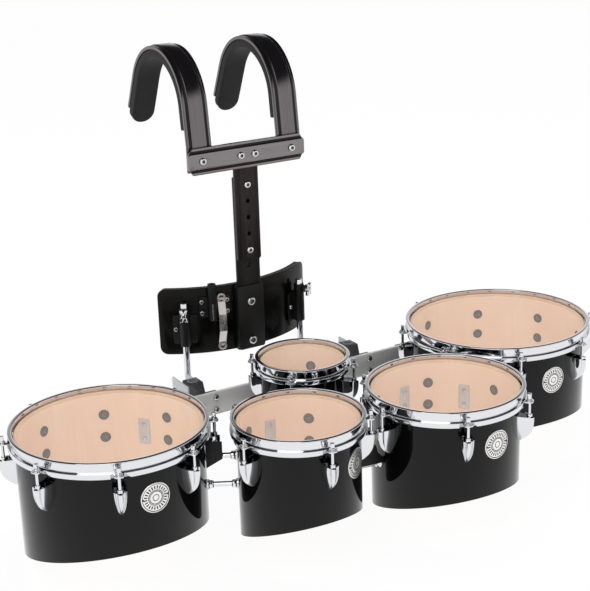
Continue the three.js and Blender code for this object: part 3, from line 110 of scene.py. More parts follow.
class Side(Enum):
    """The two hands of the carrier, with the sign of their place along X."""

    LEFT = -1
    RIGHT = 1

    @property
    def word(self) -> str:
        """The word that names of pieces use."""
        return self.name.lower()


class Axis(Enum):
    """The way that a bolt's head faces."""

    FRONT = Matrix.Rotation(math.pi / 2, 4, "X")
    BACK = Matrix.Rotation(-math.pi / 2, 4, "X")


# Places in the frame


def low(node: str) -> Vector:
    """The lowest corner of a CAD node, in millimetres."""
    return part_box(node)[0] / MM


def high(node: str) -> Vector:
    """The highest corner of a CAD node, in millimetres."""
    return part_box(node)[1] / MM


def centre(node: str) -> Vector:
    """The middle of a CAD node's box, in millimetres."""
    return (low(node) + high(node)) / 2


def moved(x: float = 0.0, y: float = 0.0, z: float = 0.0) -> Matrix:
    """A shift, in millimetres."""
    return Matrix.Translation((x, y, z))


def turned(degrees: float, axis: str = "Z") -> Matrix:
    """A turn about one of the axes."""
    return Matrix.Rotation(math.radians(degrees), 4, axis)


def facing(way: Vector, axis: str = "Z") -> Matrix:
    """A turn that points one of a thing's own axes along a way."""
    return way.to_track_quat(axis, "Y").to_matrix().to_4x4()


RIM = high("drum_12_hoop").z
CARRIER_X = centre("t_bar").x

# Finishes


def linear(code: str) -> tuple[float, float, float, float]:
    """Turns an sRGB hex colour to linear light.

    Args:
        code: Six hex digits after a hash.

    Returns:
        Red, green, blue and a full alpha.
    """
    channels = [int(code[i : i + 2], 16) / 255 for i in (1, 3, 5)]
    light = [c / 12.92 if c <= 0.04045 else ((c + 0.055) / 1.055) ** 2.4 for c in channels]
    return (light[0], light[1], light[2], 1.0)


def fill(tree: Tree, node: Node, inputs: dict[str | int, object]) -> None:
    """Sets a node's sockets, and links those that another node feeds.

    Args:
        tree: The tree that the node is in.
        node: The node.
        inputs: For each socket, its value or the output that feeds it.
    """
    for socket, value in inputs.items():
        if isinstance(value, Output):
            tree.links.new(value, node.inputs[socket])
        else:
            node.inputs[socket].default_value = value


def add_node(
    tree: Tree,
    kind: str,
    inputs: dict[str | int, object] | None = None,
    **settings: object,
) -> Node:
    """Adds one shader node with its settings and links.

    Args:
        tree: The tree to add it to.
        kind: The node's type, without the word that all types start with.
        inputs: For each socket, its value or the output that feeds it.
        settings: Values for its properties.

    Returns:
        The new node.
    """
    made = tree.nodes.new(f"ShaderNode{kind}")
    for name, value in settings.items():
        setattr(made, name, value)
    fill(tree, made, inputs or {})
    return made


def maths(tree: Tree, operation: str, *values: object) -> Output:
    """Works out one step of arithmetic.

    Args:
        tree: The tree to add it to.
        operation: The arithmetic's name.
        values: The numbers or outputs that it takes.

    Returns:
        The result.
    """
    return add_node(tree, "Math", dict(enumerate(values)), operation=operation).outputs[0]


class Shading:
    """A material's nodes, with the steps that the finishes share."""

    # Where nearly all of a noise pattern's values lie
    PATTERN_LOW = 0.3
    PATTERN_HIGH = 0.7

    def __init__(self, name: str) -> None:
        """Starts a material that has only its surface shader.

        Args:
            name: The material's name.
        """
        self.material = bpy.data.materials.new(name)
        self.material.use_nodes = True
        self.tree = self.material.node_tree
        self.surface = self.tree.nodes["Principled BSDF"]

    def give(self, **inputs: object) -> None:
        """Sets or feeds the surface's sockets, whose spaces are written as low lines."""
        named = {socket.replace("_", " "): value for socket, value in inputs.items()}
        fill(self.tree, self.surface, named)

    def grain(self, size: float | Place, detail: float = 2.0) -> Output:
        """Adds a cloudy pattern on the piece's own coordinates.

        Args:
            size: How long a grain is in millimetres, on all axes or on each.
            detail: How many finer layers the pattern has.

        Returns:
            The pattern's value, about a half on the mean.
        """
        lengths = size if isinstance(size, tuple) else (size, size, size)
        place = add_node(self.tree, "TexCoord").outputs["Object"]
        inputs = {"Vector": place, "Scale": [1 / (length * MM) for length in lengths]}
        fitted = add_node(self.tree, "Mapping", inputs).outputs[0]
        inputs = {"Vector": fitted, "Scale": 1.0, "Detail": detail}
        return add_node(self.tree, "TexNoise", inputs).outputs[0]

    def mean(self, share: float, first: Output, second: Output) -> Output:
        """Mixes two patterns, by the share of the second."""
        inputs = {0: share, 2: first, 3: second}
        return add_node(self.tree, "Mix", inputs, data_type="FLOAT").outputs[0]

    def spread(self, pattern: Output, least: float, most: float) -> Output:
        """Stretches a pattern between two values.

        Args:
            pattern: The pattern.
            least: The value where the pattern is low.
            most: The value where it is high.

        Returns:
            The stretched value.
        """
        inputs = {
            "Value": pattern, "From Min": self.PATTERN_LOW, "From Max": self.PATTERN_HIGH,
            "To Min": least, "To Max": most,
        }
        return add_node(self.tree, "MapRange", inputs).outputs[0]

    def tint(self, share: Output, pale: str, dark: str) -> None:
        """Colours the surface by a pattern.

        Args:
            share: The pattern, 0 for the first colour and 1 for the second.
            pale: The first colour.
            dark: The second colour.
        """
        inputs = {0: share, 6: linear(pale), 7: linear(dark)}
        self.give(Base_Color=add_node(self.tree, "Mix", inputs, data_type="RGBA").outputs[2])

    def relief(self, pattern: Output, depth: float, strength: float = 1.0) -> None:
        """Raises a pattern on the surface.

        Args:
            pattern: The pattern.
            depth: The relief's depth, in millimetres.
            strength: How strongly it shows.
        """
        inputs = {"Height": pattern, "Distance": depth * MM, "Strength": strength}
        self.give(Normal=add_node(self.tree, "Bump", inputs).outputs[0])


@dataclass(frozen=True)
class Finish:
    """A surface with one colour, the base of every other finish."""

    name: str
    colour: str
    roughness: float
    metallic: float = 0.0

    def material(self) -> bpy.types.Material:
        """Builds the material once, and hands out the same one after that.

        Returns:
            The finished material.
        """
        found = bpy.data.materials.get(self.name)
        if found:
            return found
        paint = Shading(self.name)
        paint.give(
            Base_Color=linear(self.colour), Roughness=self.roughness, Metallic=self.metallic
        )
        self.dress(paint)
        return paint.material

    def dress(self, paint: Shading) -> None:
        """Adds what a plain colour lacks. The base finish adds nothing."""


@dataclass(frozen=True)
class GlossLacquer(Finish):
    """Polyurethane lacquer, sprayed and polished: a deep black with sharp reflections that
    waver a little, because the film follows the ply under it."""

    wave: float = 26.0
    wave_depth: float = 0.01
    haze_size: float = 60.0
    haze: Point = (0.7, 1.4)
    ior: float = 1.5
    shine: float = 0.5

    def dress(self, paint: Shading) -> None:
        """Adds the slow waver and a trace of polishing haze.

        Args:
            paint: The material's nodes.
        """
        paint.relief(paint.grain(self.wave, 1.0), self.wave_depth)
        least, most = (self.roughness * share for share in self.haze)
        rough = paint.spread(paint.grain(self.haze_size, 3.0), least, most)
        paint.give(Roughness=rough, IOR=self.ior, Specular_IOR_Level=self.shine)


@dataclass(frozen=True)
class SealedPly(Finish):
    """Birch or poplar ply inside the shell, sanded and sealed: a peach veneer whose fine
    upright grain shows as faint streaks under a satin sealer."""

    streak: str = "#efccae"
    grain_size: Place = (1.6, 1.6, 90.0)
    cloud_size: Place = (70.0, 70.0, 160.0)
    depth: float = 0.04

    def dress(self, paint: Shading) -> None:
        """Adds the veneer's streaks, its slow clouds and a fine relief.

        Args:
            paint: The material's nodes.
        """
        fine = paint.grain(self.grain_size, 4.0)
        mean = paint.mean(0.5, fine, paint.grain(self.cloud_size))
        paint.tint(paint.spread(mean, 0.0, 1.0), self.colour, self.streak)
        paint.relief(fine, self.depth, 0.6)


@dataclass(frozen=True)
class ClearFilm(Finish):
    """Polyester drumhead film: clear, hard and smooth, with the faint milkiness of its
    thickness, and mirror-like reflections at low angles."""

    opacity: float = 0.09
    ior: float = 1.57
    slack: float = 90.0
    slack_depth: float = 0.02

    def dress(self, paint: Shading) -> None:
        """Lets most of the light through, and wavers the reflection as stretched film does."""
        paint.give(Alpha=self.opacity, IOR=self.ior)
        paint.relief(paint.grain(self.slack, 1.0), self.slack_depth)


@dataclass(frozen=True)
class ChromePlate(Finish):
    """Chrome plate over polished steel or zinc: a bright mirror, a trace hazy where the
    casting under it was polished by hand."""

    metallic: float = 1.0
    haze: float = 0.04
    haze_size: float = 14.0
    wave: float = 9.0
    wave_depth: float = 0.006

    def dress(self, paint: Shading) -> None:
        """Varies the haze, and wavers the mirror a little.

        Args:
            paint: The material's nodes.
        """
        cloud = paint.grain(self.haze_size)
        paint.give(Roughness=paint.spread(cloud, self.roughness, self.roughness + self.haze))
        paint.relief(paint.grain(self.wave, 1.0), self.wave_depth)


@dataclass(frozen=True)
class DrawnMetal(Finish):
    """Extruded or drawn aluminium: fine lines run along the bar and stretch its highlights.
    The lines of the real bar are finer than the picture, so they are drawn 0.7 mm apart."""

    line: float = 0.7
    run: float = 120.0
    along: str = "X"
    swing: float = 0.12
    other: str = "#9a9a9c"
    depth: float = 0.02

    def dress(self, paint: Shading) -> None:
        """Adds the drawn lines to the colour, the roughness and the relief.

        Args:
            paint: The material's nodes.
        """
        size = tuple(self.run if axis in self.along else self.line for axis in "XYZ")
        lines = paint.grain(size, 3.0)
        paint.tint(paint.spread(lines, 0.0, 1.0), self.colour, self.other)
        rough = paint.spread(lines, self.roughness - self.swing, self.roughness + self.swing)
        paint.give(Roughness=rough)
        paint.relief(lines, self.depth, 0.5)


@dataclass(frozen=True)
class PowderCoat(Finish):
    """Black powder coat, baked: a satin skin with a soft orange-peel grain about 1.5 mm wide,
    worn a touch smoother in places."""

    peel: float = 1.5
    depth: float = 0.04
    wear_size: float = 30.0
    wear: Point = (-0.08, 0.1)
    shine: float = 0.5

    def dress(self, paint: Shading) -> None:
        """Adds the orange peel, and the uneven gloss of handled paint.

        Args:
            paint: The material's nodes.
        """
        paint.relief(paint.grain(self.peel), self.depth, 0.5)
        least, most = (self.roughness + change for change in self.wear)
        rough = paint.spread(paint.grain(self.wear_size, 4.0), least, most)
        paint.give(Roughness=rough, Specular_IOR_Level=self.shine)


@dataclass(frozen=True)
class Moulded(Finish):
    """Glass-filled nylon, moulded against a spark-eroded tool: matt, with a fine even grain."""

    spark: float = 0.9
    depth: float = 0.03

    def dress(self, paint: Shading) -> None:
        """Adds the tool's fine grain."""
        paint.relief(paint.grain(self.spark), self.depth, 0.6)


@dataclass(frozen=True)
class ClosedCellFoam(Finish):
    """Closed-cell foam with a skin: black and dull, with pores about 1 mm wide that are drawn
    a little coarser than they are, and slow dents from use."""

    pore: float = 1.3
    dent: float = 22.0
    dent_share: float = 0.35
    depth: float = 0.25
    worn: str = "#151517"
    sheen: float = 0.05

    def dress(self, paint: Shading) -> None:
        """Adds the pores, the dents and the soft sheen of the skin.

        Args:
            paint: The material's nodes.
        """
        place = add_node(paint.tree, "TexCoord").outputs["Object"]
        inputs = {"Vector": place, "Scale": 1 / (self.pore * MM)}
        pores = add_node(paint.tree, "TexVoronoi", inputs).outputs["Distance"]
        dents = paint.grain(self.dent, 3.0)
        paint.relief(paint.mean(self.dent_share, pores, dents), self.depth, 0.5)
        paint.tint(paint.spread(dents, 0.0, 1.0), self.colour, self.worn)
        paint.give(Sheen_Weight=self.sheen, Sheen_Roughness=0.5)


@dataclass(frozen=True)
class BadgePlate(Finish):
    """A round shell badge of plated zinc, silver white, with plain printed rings and a ring of
    graduation ticks. The pattern is drawn on the badge's own UV map."""

    ink: str = "#28282a"
    rings: tuple[float, ...] = (0.9, 0.5, 0.42, 0.2)
    ring_width: float = 0.025
    tick_from: float = 0.58
    tick_to: float = 0.8
    tick_level: float = 0.1
    ticks: int = 24

    def dress(self, paint: Shading) -> None:
        """Prints the rings and the ticks.

        Args:
            paint: The material's nodes.
        """
        tree = paint.tree
        uv = add_node(tree, "UVMap", uv_map="badge").outputs[0]
        inputs = {0: uv, 1: (0.5, 0.5, 0.0)}
        middle = add_node(tree, "VectorMath", inputs, operation="SUBTRACT").outputs[0]
        length = add_node(tree, "VectorMath", {0: middle}, operation="LENGTH").outputs["Value"]
        reach = maths(tree, "MULTIPLY", length, 2.0)
        turn = add_node(tree, "SeparateXYZ", {0: middle}).outputs
        angle = maths(tree, "ARCTAN2", turn[1], turn[0])
        wave = maths(tree, "SINE", maths(tree, "MULTIPLY", angle, float(self.ticks)))
        tick = maths(tree, "GREATER_THAN", wave, self.tick_level)
        band_middle, band_half = (self.tick_to + self.tick_from) / 2, (self.tick_to - self.tick_from) / 2
        band = maths(tree, "COMPARE", reach, band_middle, band_half)
        printed = maths(tree, "MULTIPLY", tick, band)
        for ring in self.rings:
            line = maths(tree, "COMPARE", reach, ring, self.ring_width)
            printed = maths(tree, "MAXIMUM", printed, line)
        paint.tint(printed, self.colour, self.ink)


BLACK_LACQUER = GlossLacquer("gloss_black_shell_lacquer", "#050505", 0.05, shine=0.24)
ENAMEL = GlossLacquer("gloss_black_enamel", "#060605", 0.2, wave=9.0, wave_depth=0.02, shine=0.16)
PLY = SealedPly("sealed_birch_ply", "#f9ddc5", 0.5)
# The bearing edge's end grain: its own tan, drawn darker still as painted shade so that the up-facing
# bevel does not read lighter than the inner wall.
PLY_END_GRAIN_AND_SHADE = SealedPly("sealed_ply_end_grain", "#dab795", 0.5, streak="#c59d78")
FILM = ClearFilm("clear_polyester_film", "#fef3ea", 0.06)
CHROME = ChromePlate("polished_chrome", "#e4e5e8", 0.03)
SATIN_CHROME = ChromePlate("satin_chrome_strip", "#c9c6c2", 0.24, haze=0.06)
ZINC = ChromePlate("bright_zinc_screw", "#cfd0d2", 0.14, haze=0.1)
FLESH_HOOP = ChromePlate("flesh_hoop_aluminium", "#b9babc", 0.3)
BAR_METAL = DrawnMetal("satin_aluminium_bar", "#e2e1e0", 0.46, 0.25, other="#cfcecd")
GUIDE_METAL = DrawnMetal("satin_aluminium_plate", "#cdced0", 0.42, 0.35, along="Y", other="#b9babd")
T_BAR_METAL = DrawnMetal("black_anodised_bar", "#8b8688", 0.2, 1.0, other="#7d787a", swing=0.04)
STRAP_METAL = DrawnMetal(
    "black_anodised_strap", "#767173", 0.2, 1.0, along="YZ", other="#6a6567", swing=0.04
)
COLUMN_METAL = DrawnMetal(
    "deep_black_anodised_strap", "#2a2626", 0.34, 0.7, along="Z", other="#221e1e", swing=0.05
)
# Painted shade: the grooves of the T-bar and the straps take this darker black for the shade that falls
# in them.
GROOVE_SHADE_METAL = DrawnMetal(
    "black_anodised_groove", "#232022", 0.34, 0.6, along="XYZ", other="#161415", swing=0.05
)
POWDER = PowderCoat("black_powder_coat", "#0c0c0b", 0.4, shine=0.25)
RECEIVER_PAINT = PowderCoat("charcoal_powder_coat", "#39393b", 0.45)
# Blackened steel for the screws of the lug washers, and painted shade for the hexagon sockets of the
# bright screws, drawn dark for the shade inside them.
DARK_SCREW_AND_SOCKET_SHADE = PowderCoat("blackened_steel_screw", "#4c494a", 0.5)
NYLON = Moulded("moulded_black_nylon", "#17171a", 0.55)
GREY_NYLON = Moulded("moulded_grey_nylon", "#6a6c72", 0.5)
RUBBER = Moulded("black_rubber_washer", "#161314", 0.7)
FOAM = ClosedCellFoam("black_closed_cell_foam", "#0c0c0d", 0.82)
BADGE = BadgePlate("plated_badge", "#f2f1ef", 0.34, 0.8)
# Bright screws whose hexagon sockets are drawn in painted shade.
SCREW = [ZINC, DARK_SCREW_AND_SOCKET_SHADE]
CHROME_SCREW = [CHROME, DARK_SCREW_AND_SOCKET_SHADE]


# Forms


def rectangle(left: float, right: float, bottom: float, top: float) -> list[Point]:
    """A rectangle's corners, anticlockwise."""
    return [(left, bottom), (right, bottom), (right, top), (left, top)]


def only(kind: type, items: Iterable[object]) -> list:
    """Picks one kind out of the verts, edges and faces that an operator gives back."""
    return [item for item in items if isinstance(item, kind)]


class Form:
    """A shape in millimetres that bmesh operators work on."""

    def __init__(self) -> None:
        """Starts with an empty bench."""
        self.bm = bmesh.new()

    @property
    def everything(self) -> list:
        """All verts, edges and faces."""
        return self.bm.verts[:] + self.bm.edges[:] + self.bm.faces[:]

    @classmethod
    def outline(cls, points: Sequence[Point], corner: float = 0.0, segments: int = 4) -> "Form":
        """A flat face across Z, with its corners rounded.

        Args:
            points: The outline's corners.
            corner: The radius of the corners.
            segments: How many faces a corner takes.

        Returns:
            The flat form.
        """
        form = cls()
        form.bm.faces.new([form.bm.verts.new((x, y, 0)) for x, y in points])
        if corner:
            form.bevelled(form.bm.verts[:], corner, segments, "VERTICES")
        return form

    @classmethod
    def plate(
        cls,
        points: Sequence[Point],
        thickness: float,
        corner: float = 0.0,
        soften: float = 0.0,
        segments: int = 4,
    ) -> "Form":
        """A flat plate from Z zero up.

        Args:
            points: The outline's corners.
            thickness: The plate's thickness.
            corner: The radius of the outline's corners.
            soften: The width of its broken edges.
            segments: How many faces a corner takes.

        Returns:
            The plate.
        """
        form = cls.outline(points, corner, segments).thickened(thickness)
        return form.softened(soften) if soften else form

    @classmethod
    def upright(
        cls,
        points: Sequence[Point],
        front: float,
        thickness: float,
        corner: float = 0.0,
        soften: float = 0.0,
    ) -> "Form":
        """A plate that stands across Y, from an outline in X and Z.

        Args:
            points: The outline's corners.
            front: Where its front face is.
            thickness: How far it goes back.
            corner: The radius of the outline's corners.
            soften: The width of its broken edges.

        Returns:
            The plate.
        """
        form = cls.plate(points, thickness, corner, soften)
        return form.placed(moved(y=front + thickness) @ turned(90, "X"))

    @classmethod
    def ring(
        cls,
        profile: Sequence[Point],
        steps: int = 96,
        round_by: float = 0.0,
        start: float = 0.0,
        sweep: float = 360.0,
        segments: int = 3,
    ) -> "Form":
        """A closed profile of radius and height, turned round Z.

        Args:
            profile: The profile's corners.
            steps: How many faces the turn takes.
            round_by: The radius of the profile's corners.
            start: The bearing where the turn starts, in degrees.
            sweep: How far it goes, in degrees.
            segments: How many faces a rounded corner takes.

        Returns:
            The turned form.
        """
        form = cls.outline(profile, round_by, segments).placed(turned(90, "X"))
        form.placed(turned(start))
        whole = sweep >= 360
        geometry = form.bm.edges[:] if whole else form.bm.faces[:]
        if whole:
            bmesh.ops.delete(form.bm, geom=form.bm.faces[:], context="FACES_ONLY")
        form.spun(geometry, sweep, steps, whole)
        return form.outward()

    @classmethod
    def spindle(cls, profile: Sequence[Point], steps: int = 32) -> "Form":
        """A solid turned round Z from a line that starts and ends on the axis.

        Args:
            profile: Radius and height of each point of the line.
            steps: How many faces the turn takes.

        Returns:
            The turned solid.
        """
        form = cls()
        verts = [form.bm.verts.new((radius, 0, z)) for radius, z in profile]
        edges = [form.bm.edges.new(pair) for pair in zip(verts, verts[1:])]
        form.spun(edges, 360, steps, True)
        return form.outward()

    @classmethod
    def cone(cls, foot: float, top: float, length: float, sides: int, place: Matrix) -> "Form":
        """A closed cone or prism about Z, with its middle at the place.

        Args:
            foot: The radius at its foot.
            top: The radius at its top.
            length: How long it is.
            sides: How many sides it has.
            place: Where it goes.

        Returns:
            The solid.
        """
        form = cls()
        bmesh.ops.create_cone(
            form.bm, cap_ends=True, segments=sides, radius1=foot, radius2=top, depth=length, matrix=place
        )
        return form

    @classmethod
    def bar(cls, start: Vector, end: Vector, radius: float, sides: int) -> "Form":
        """A round bar between two points.

        Args:
            start: One end.
            end: The other end.
            radius: The bar's radius.
            sides: How many sides it has.

        Returns:
            The bar.
        """
        along = end - start
        place = Matrix.Translation((start + end) / 2) @ facing(along)
        return cls.cone(radius, radius, along.length, sides, place)

    @classmethod
    def of_node(cls, node: str) -> "Form":
        """A CAD node's solid, with its loose triangles merged into whole faces.

        Args:
            node: The CAD node.

        Returns:
            The solid, in its place.
        """
        form = cls()
        form.bm.from_mesh(frame["nodes"][node].data)
        bmesh.ops.scale(form.bm, vec=(1 / MM, 1 / MM, 1 / MM), verts=form.bm.verts)
        bmesh.ops.remove_doubles(form.bm, verts=form.bm.verts, dist=0.01)
        bmesh.ops.dissolve_limit(
            form.bm, angle_limit=math.radians(1), verts=form.bm.verts, edges=form.bm.edges
        )
        return form

    def outward(self) -> "Form":
        """Merges doubles and turns the faces outwards.

        Returns:
            The same form.
        """
        bmesh.ops.remove_doubles(self.bm, verts=self.bm.verts, dist=0.001)
        bmesh.ops.recalc_face_normals(self.bm, faces=self.bm.faces)
        return self

    def placed(self, place: Matrix) -> "Form":
        """Moves the form as it is."""
        bmesh.ops.transform(self.bm, matrix=place, verts=self.bm.verts)
        return self

    def painted(self, index: int) -> "Form":
        """Gives every face one material number."""
        for face in self.bm.faces:
            face.material_index = index
        return self

    def spun(
        self,
        geometry: list,
        degrees: float,
        steps: int,
        closed: bool,
        about: Sequence[float] = (0, 0, 0),
        axis: Sequence[float] = (0, 0, 1),
    ) -> list:
        """Spins verts, edges or faces about a line.

        Args:
            geometry: What is spun.
            degrees: How far it goes.
            steps: How many faces that takes.
            closed: Whether its end meets its start.
            about: A point on the line.
            axis: The line's direction.

        Returns:
            The geometry at the far end.
        """
        spun = bmesh.ops.spin(
            self.bm, geom=geometry, cent=about, axis=axis, angle=math.radians(degrees), steps=steps,
            use_merge=closed, use_duplicate=False,
        )
        return spun["geom_last"]

    def bevelled(
        self, geometry: list, width: float, segments: int, kind: str = "EDGES", clamp: bool = True
    ) -> "Form":
        """Rounds edges or corners.

        Args:
            geometry: The edges or verts.
            width: The width of the rounding.
            segments: How many faces it takes.
            kind: Whether EDGES or VERTICES are rounded.
            clamp: Whether the rounding stops at its neighbours.

        Returns:
            The same form.
        """
        bmesh.ops.bevel(
            self.bm, geom=geometry, offset=width, affect=kind, segments=segments, profile=0.5,
            material=-1, clamp_overlap=clamp,
        )
        return self

    def softened(self, width: float, segments: int = 2, limit: float = 28.0) -> "Form":
        """Breaks the sharp edges.

        Args:
            width: The width of the broken edge.
            segments: How many faces it takes.
            limit: The angle in degrees from which an edge counts as sharp.

        Returns:
            The same form.
        """
        shared = [edge for edge in self.bm.edges if len(edge.link_faces) == 2]
        sharp = [edge for edge in shared if edge.calc_face_angle() > math.radians(limit)]
        return self.bevelled(sharp, width, segments)

    def thickened(self, height: float) -> "Form":
        """Grows a flat form along Z into a solid.

        Args:
            height: How far it grows, below zero for down.

        Returns:
            The same form.
        """
        grown = bmesh.ops.extrude_face_region(self.bm, geom=self.bm.faces[:])["geom"]
        bmesh.ops.translate(self.bm, vec=(0, 0, height), verts=only(BMVert, grown))
        return self.outward()

    def grown(self, edges: list[BMEdge]) -> tuple[list[BMVert], list[BMEdge]]:
        """Grows walls from open edges, and gives the verts and edges of their far end."""
        made = bmesh.ops.extrude_edge_only(self.bm, edges=edges)["geom"]
        return only(BMVert, made), only(BMEdge, made)

    def cut(self, place: Sequence[float], normal: Sequence[float], drop: bool = False) -> "Form":
        """Cuts the form on a plane.

        Args:
            place: A point on the plane.
            normal: The way that the plane faces.
            drop: Whether what is behind the plane goes.

        Returns:
            The same form.
        """
        bmesh.ops.bisect_plane(
            self.bm, geom=self.everything, plane_co=place, plane_no=normal, clear_inner=drop
        )
        return self

    def sunk(self, face: BMFace, wall: float, depth: float) -> BMFace:
        """Sinks a pocket into a face that looks up.

        Args:
            face: The face, which shrinks to the pocket's own outline first.
            wall: The wall that is left round the pocket, or zero where it is there already.
            depth: The pocket's depth.

        Returns:
            The pocket's floor.
        """
        if wall:
            bmesh.ops.inset_region(self.bm, faces=[face], thickness=wall, use_even_offset=True)
        floor = bmesh.ops.extrude_discrete_faces(self.bm, faces=[face])["faces"][0]
        bmesh.ops.translate(self.bm, vec=(0, 0, -depth), verts=floor.verts)
        return floor

    def wrapped(self, radius: float) -> "Form":
        """Wraps a form that stands across Y round an upright cylinder behind it.

        Args:
            radius: The cylinder's radius, where the form's Y is zero.

        Returns:
            The same form, about the cylinder's axis.
        """
        for vert in self.bm.verts:
            x, y, z = vert.co
            angle, reach = x / radius, radius - y
            vert.co = (reach * math.sin(angle), -reach * math.cos(angle), z)
        self.bm.normal_update()
        return self

    def add(self, other: "Form", places: Iterable[Matrix] = (Matrix.Identity(4),)) -> "Form":
        """Adds another form, once for each place.

        Args:
            other: The form to copy in.
            places: Where the copies go.

        Returns:
            This form.
        """
        master = bpy.data.meshes.new("master")
        other.bm.to_mesh(master)
        for place in places:
            copied = master.copy()
            copied.transform(place)
            self.bm.from_mesh(copied)
            bpy.data.meshes.remove(copied)
        bpy.data.meshes.remove(master)
        return self

    def made(
        self,
        name: str,
        finishes: Sequence[Finish],
        slot: Slot,
        body: str = Body.DRUM_FRAME.value,
        replaces: Sequence[str] = (),
        smooth: float = 35.0,
    ) -> bpy.types.Object:
        """Turns the form into a finished piece that rides on its body.

        Args:
            name: The piece's name.
            finishes: Its finishes, in the order of its material numbers.
            slot: The record's slot. It is not used.
            body: The body that it moves with.
            replaces: The CAD nodes that it stands for.
            smooth: The angle in degrees up to which faces shade as one.

        Returns:
            The finished piece.
        """
        bmesh.ops.scale(self.bm, vec=(MM, MM, MM), verts=self.bm.verts)
        data = bpy.data.meshes.new(name)
        self.bm.to_mesh(data)
        self.bm.free()
        data.polygons.foreach_set("use_smooth", [True] * len(data.polygons))
        data.set_sharp_from_angle(angle=math.radians(smooth))
        for finish in finishes:
            data.materials.append(finish.material())
        piece = bpy.data.objects.new(name, data)
        bpy.context.scene.collection.objects.link(piece)
        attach(piece, body)
        if replaces:
            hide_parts(*replaces)
        LOG.info("%s: %d faces on %s", name, len(data.polygons), body)
        return piece

    def stand_in(
        self, node: str, finishes: Sequence[Finish], slot: Slot, name: str = ""
    ) -> bpy.types.Object:
        """Turns the form into the piece that stands for a CAD node, on that node's body.

        Args:
            node: The CAD node.
            finishes: The piece's finishes.
            slot: The record's slot.
            name: The piece's name, where it isn't the node's with "dressed" behind it.

        Returns:
            The finished piece.
        """
        body = frame["nodes"][node]["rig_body"]
        return self.made(name or f"{node}_dressed", finishes, slot, body, [node])


class Sweep:
    """A section drawn along a way of straights and bends, as a bar is bent on a bench."""

    def __init__(self, section: Sequence[Vector], heading: Vector, here: Vector) -> None:
        """Starts a way.

        Args:
            section: The corners of the section, where the way starts.
            heading: The way that it starts in.
            here: The point of the section that the bends are measured from.
        """
        self.form = Form()
        self.form.bm.faces.new([self.form.bm.verts.new(point) for point in section])
        self.edges = self.form.bm.edges[:]
        self.heading = heading
        self.here = here

    def straight(self, length: float) -> None:
        """Goes straight on.

        Args:
            length: How far.
        """
        verts, self.edges = self.form.grown(self.edges)
        bmesh.ops.translate(self.form.bm, vec=self.heading * length, verts=verts)
        self.here = self.here + self.heading * length

    def bend(self, about: Vector, axis: Vector, degrees: float, steps: int) -> None:
        """Bends about a line.

        Args:
            about: A point on the line.
            axis: The line's direction.
            degrees: How far the way turns.
            steps: How many faces that takes.
        """
        self.edges = only(BMEdge, self.form.spun(self.edges, degrees, steps, False, about, axis))
        turn = Matrix.Rotation(math.radians(degrees), 3, axis)
        self.here = about + turn @ (self.here - about)
        self.heading = turn @ self.heading

    def closed(self) -> Form:
        """Closes the far end and hands the form over."""
        bmesh.ops.contextual_create(self.form.bm, geom=self.edges)
        return self.form.outward()


@dataclass
class ButtonScrew:
    """A button-headed screw with a hexagon socket, standing on Z zero with its head up."""

    radius: float
    height: float
    shank: float = 0.0
    length: float = 0.0
    sides: int = 24
    taper: float = 0.82
    rim: float = 0.28
    flat: float = 0.46
    socket_depth: float = 0.6
    corner: Point = (0.35, 0.2)

    def form(self) -> Form:
        """Turns the head, sinks the hexagon into it and adds the shank.

        Returns:
            The screw, whose socket has the second material number, for painted shade.
        """
        radius, height = self.radius, self.height
        form = Form.cone(radius, radius * self.taper, height, self.sides, moved(z=height / 2))
        form.softened(min(height * self.corner[0], radius * self.corner[1]), 3)
        top = max(form.bm.faces, key=lambda face: face.calc_center_median().z)
        bmesh.ops.inset_region(form.bm, faces=[top], thickness=radius * self.rim, use_even_offset=True)
        for vert in top.verts:
            bearing = math.atan2(vert.co.y, vert.co.x) % math.radians(60) - math.radians(30)
            vert.co.xy = vert.co.xy.normalized() * (radius * self.flat / math.cos(bearing))
        # The socket's faces take the second finish: painted shade in the recess.
        for vert in form.sunk(top, 0.0, height * self.socket_depth).verts:
            for face in vert.link_faces:
                face.material_index = 1
        if self.shank:
            form.add(Form.bar(Vector((0, 0, -self.length)), Vector((0, 0, 0.2)), self.shank, 16))
        return form


def hex_nut(radius: float, height: float) -> Form:
    """A hexagon nut that stands on Z zero, with chamfered corners."""
    return Form.cone(radius, radius, height, 6, moved(z=height / 2)).softened(height * 0.12)


def refined(node: str, finish: Finish, slot: Slot, soften: float = 0.6) -> None:
    """Makes a piece with a CAD node's shape, whose edges are broken as a real one's are.

    Args:
        node: The CAD node that it stands for.
        finish: Its finish.
        slot: The record's slot.
        soften: The width of the broken edges.
    """
    Form.of_node(node).softened(soften).stand_in(node, [finish], slot)


def groove_index(deep: float, sideways: float, groove: float) -> int:
    """Tells whether a face of an extruded bar is in one of its grooves.

    Args:
        deep: How far the face is behind the bar's front.
        sideways: How much of its normal points across the groove.
        groove: How deep the grooves are.

    Returns:
        One in a groove, whose faces take the darker finish as painted shade, and zero elsewhere.
    """
    wall = abs(sideways) > 0.3 and 0.4 < deep < groove
    return int(wall or groove * 0.65 < deep < groove + 0.3)


# Drums


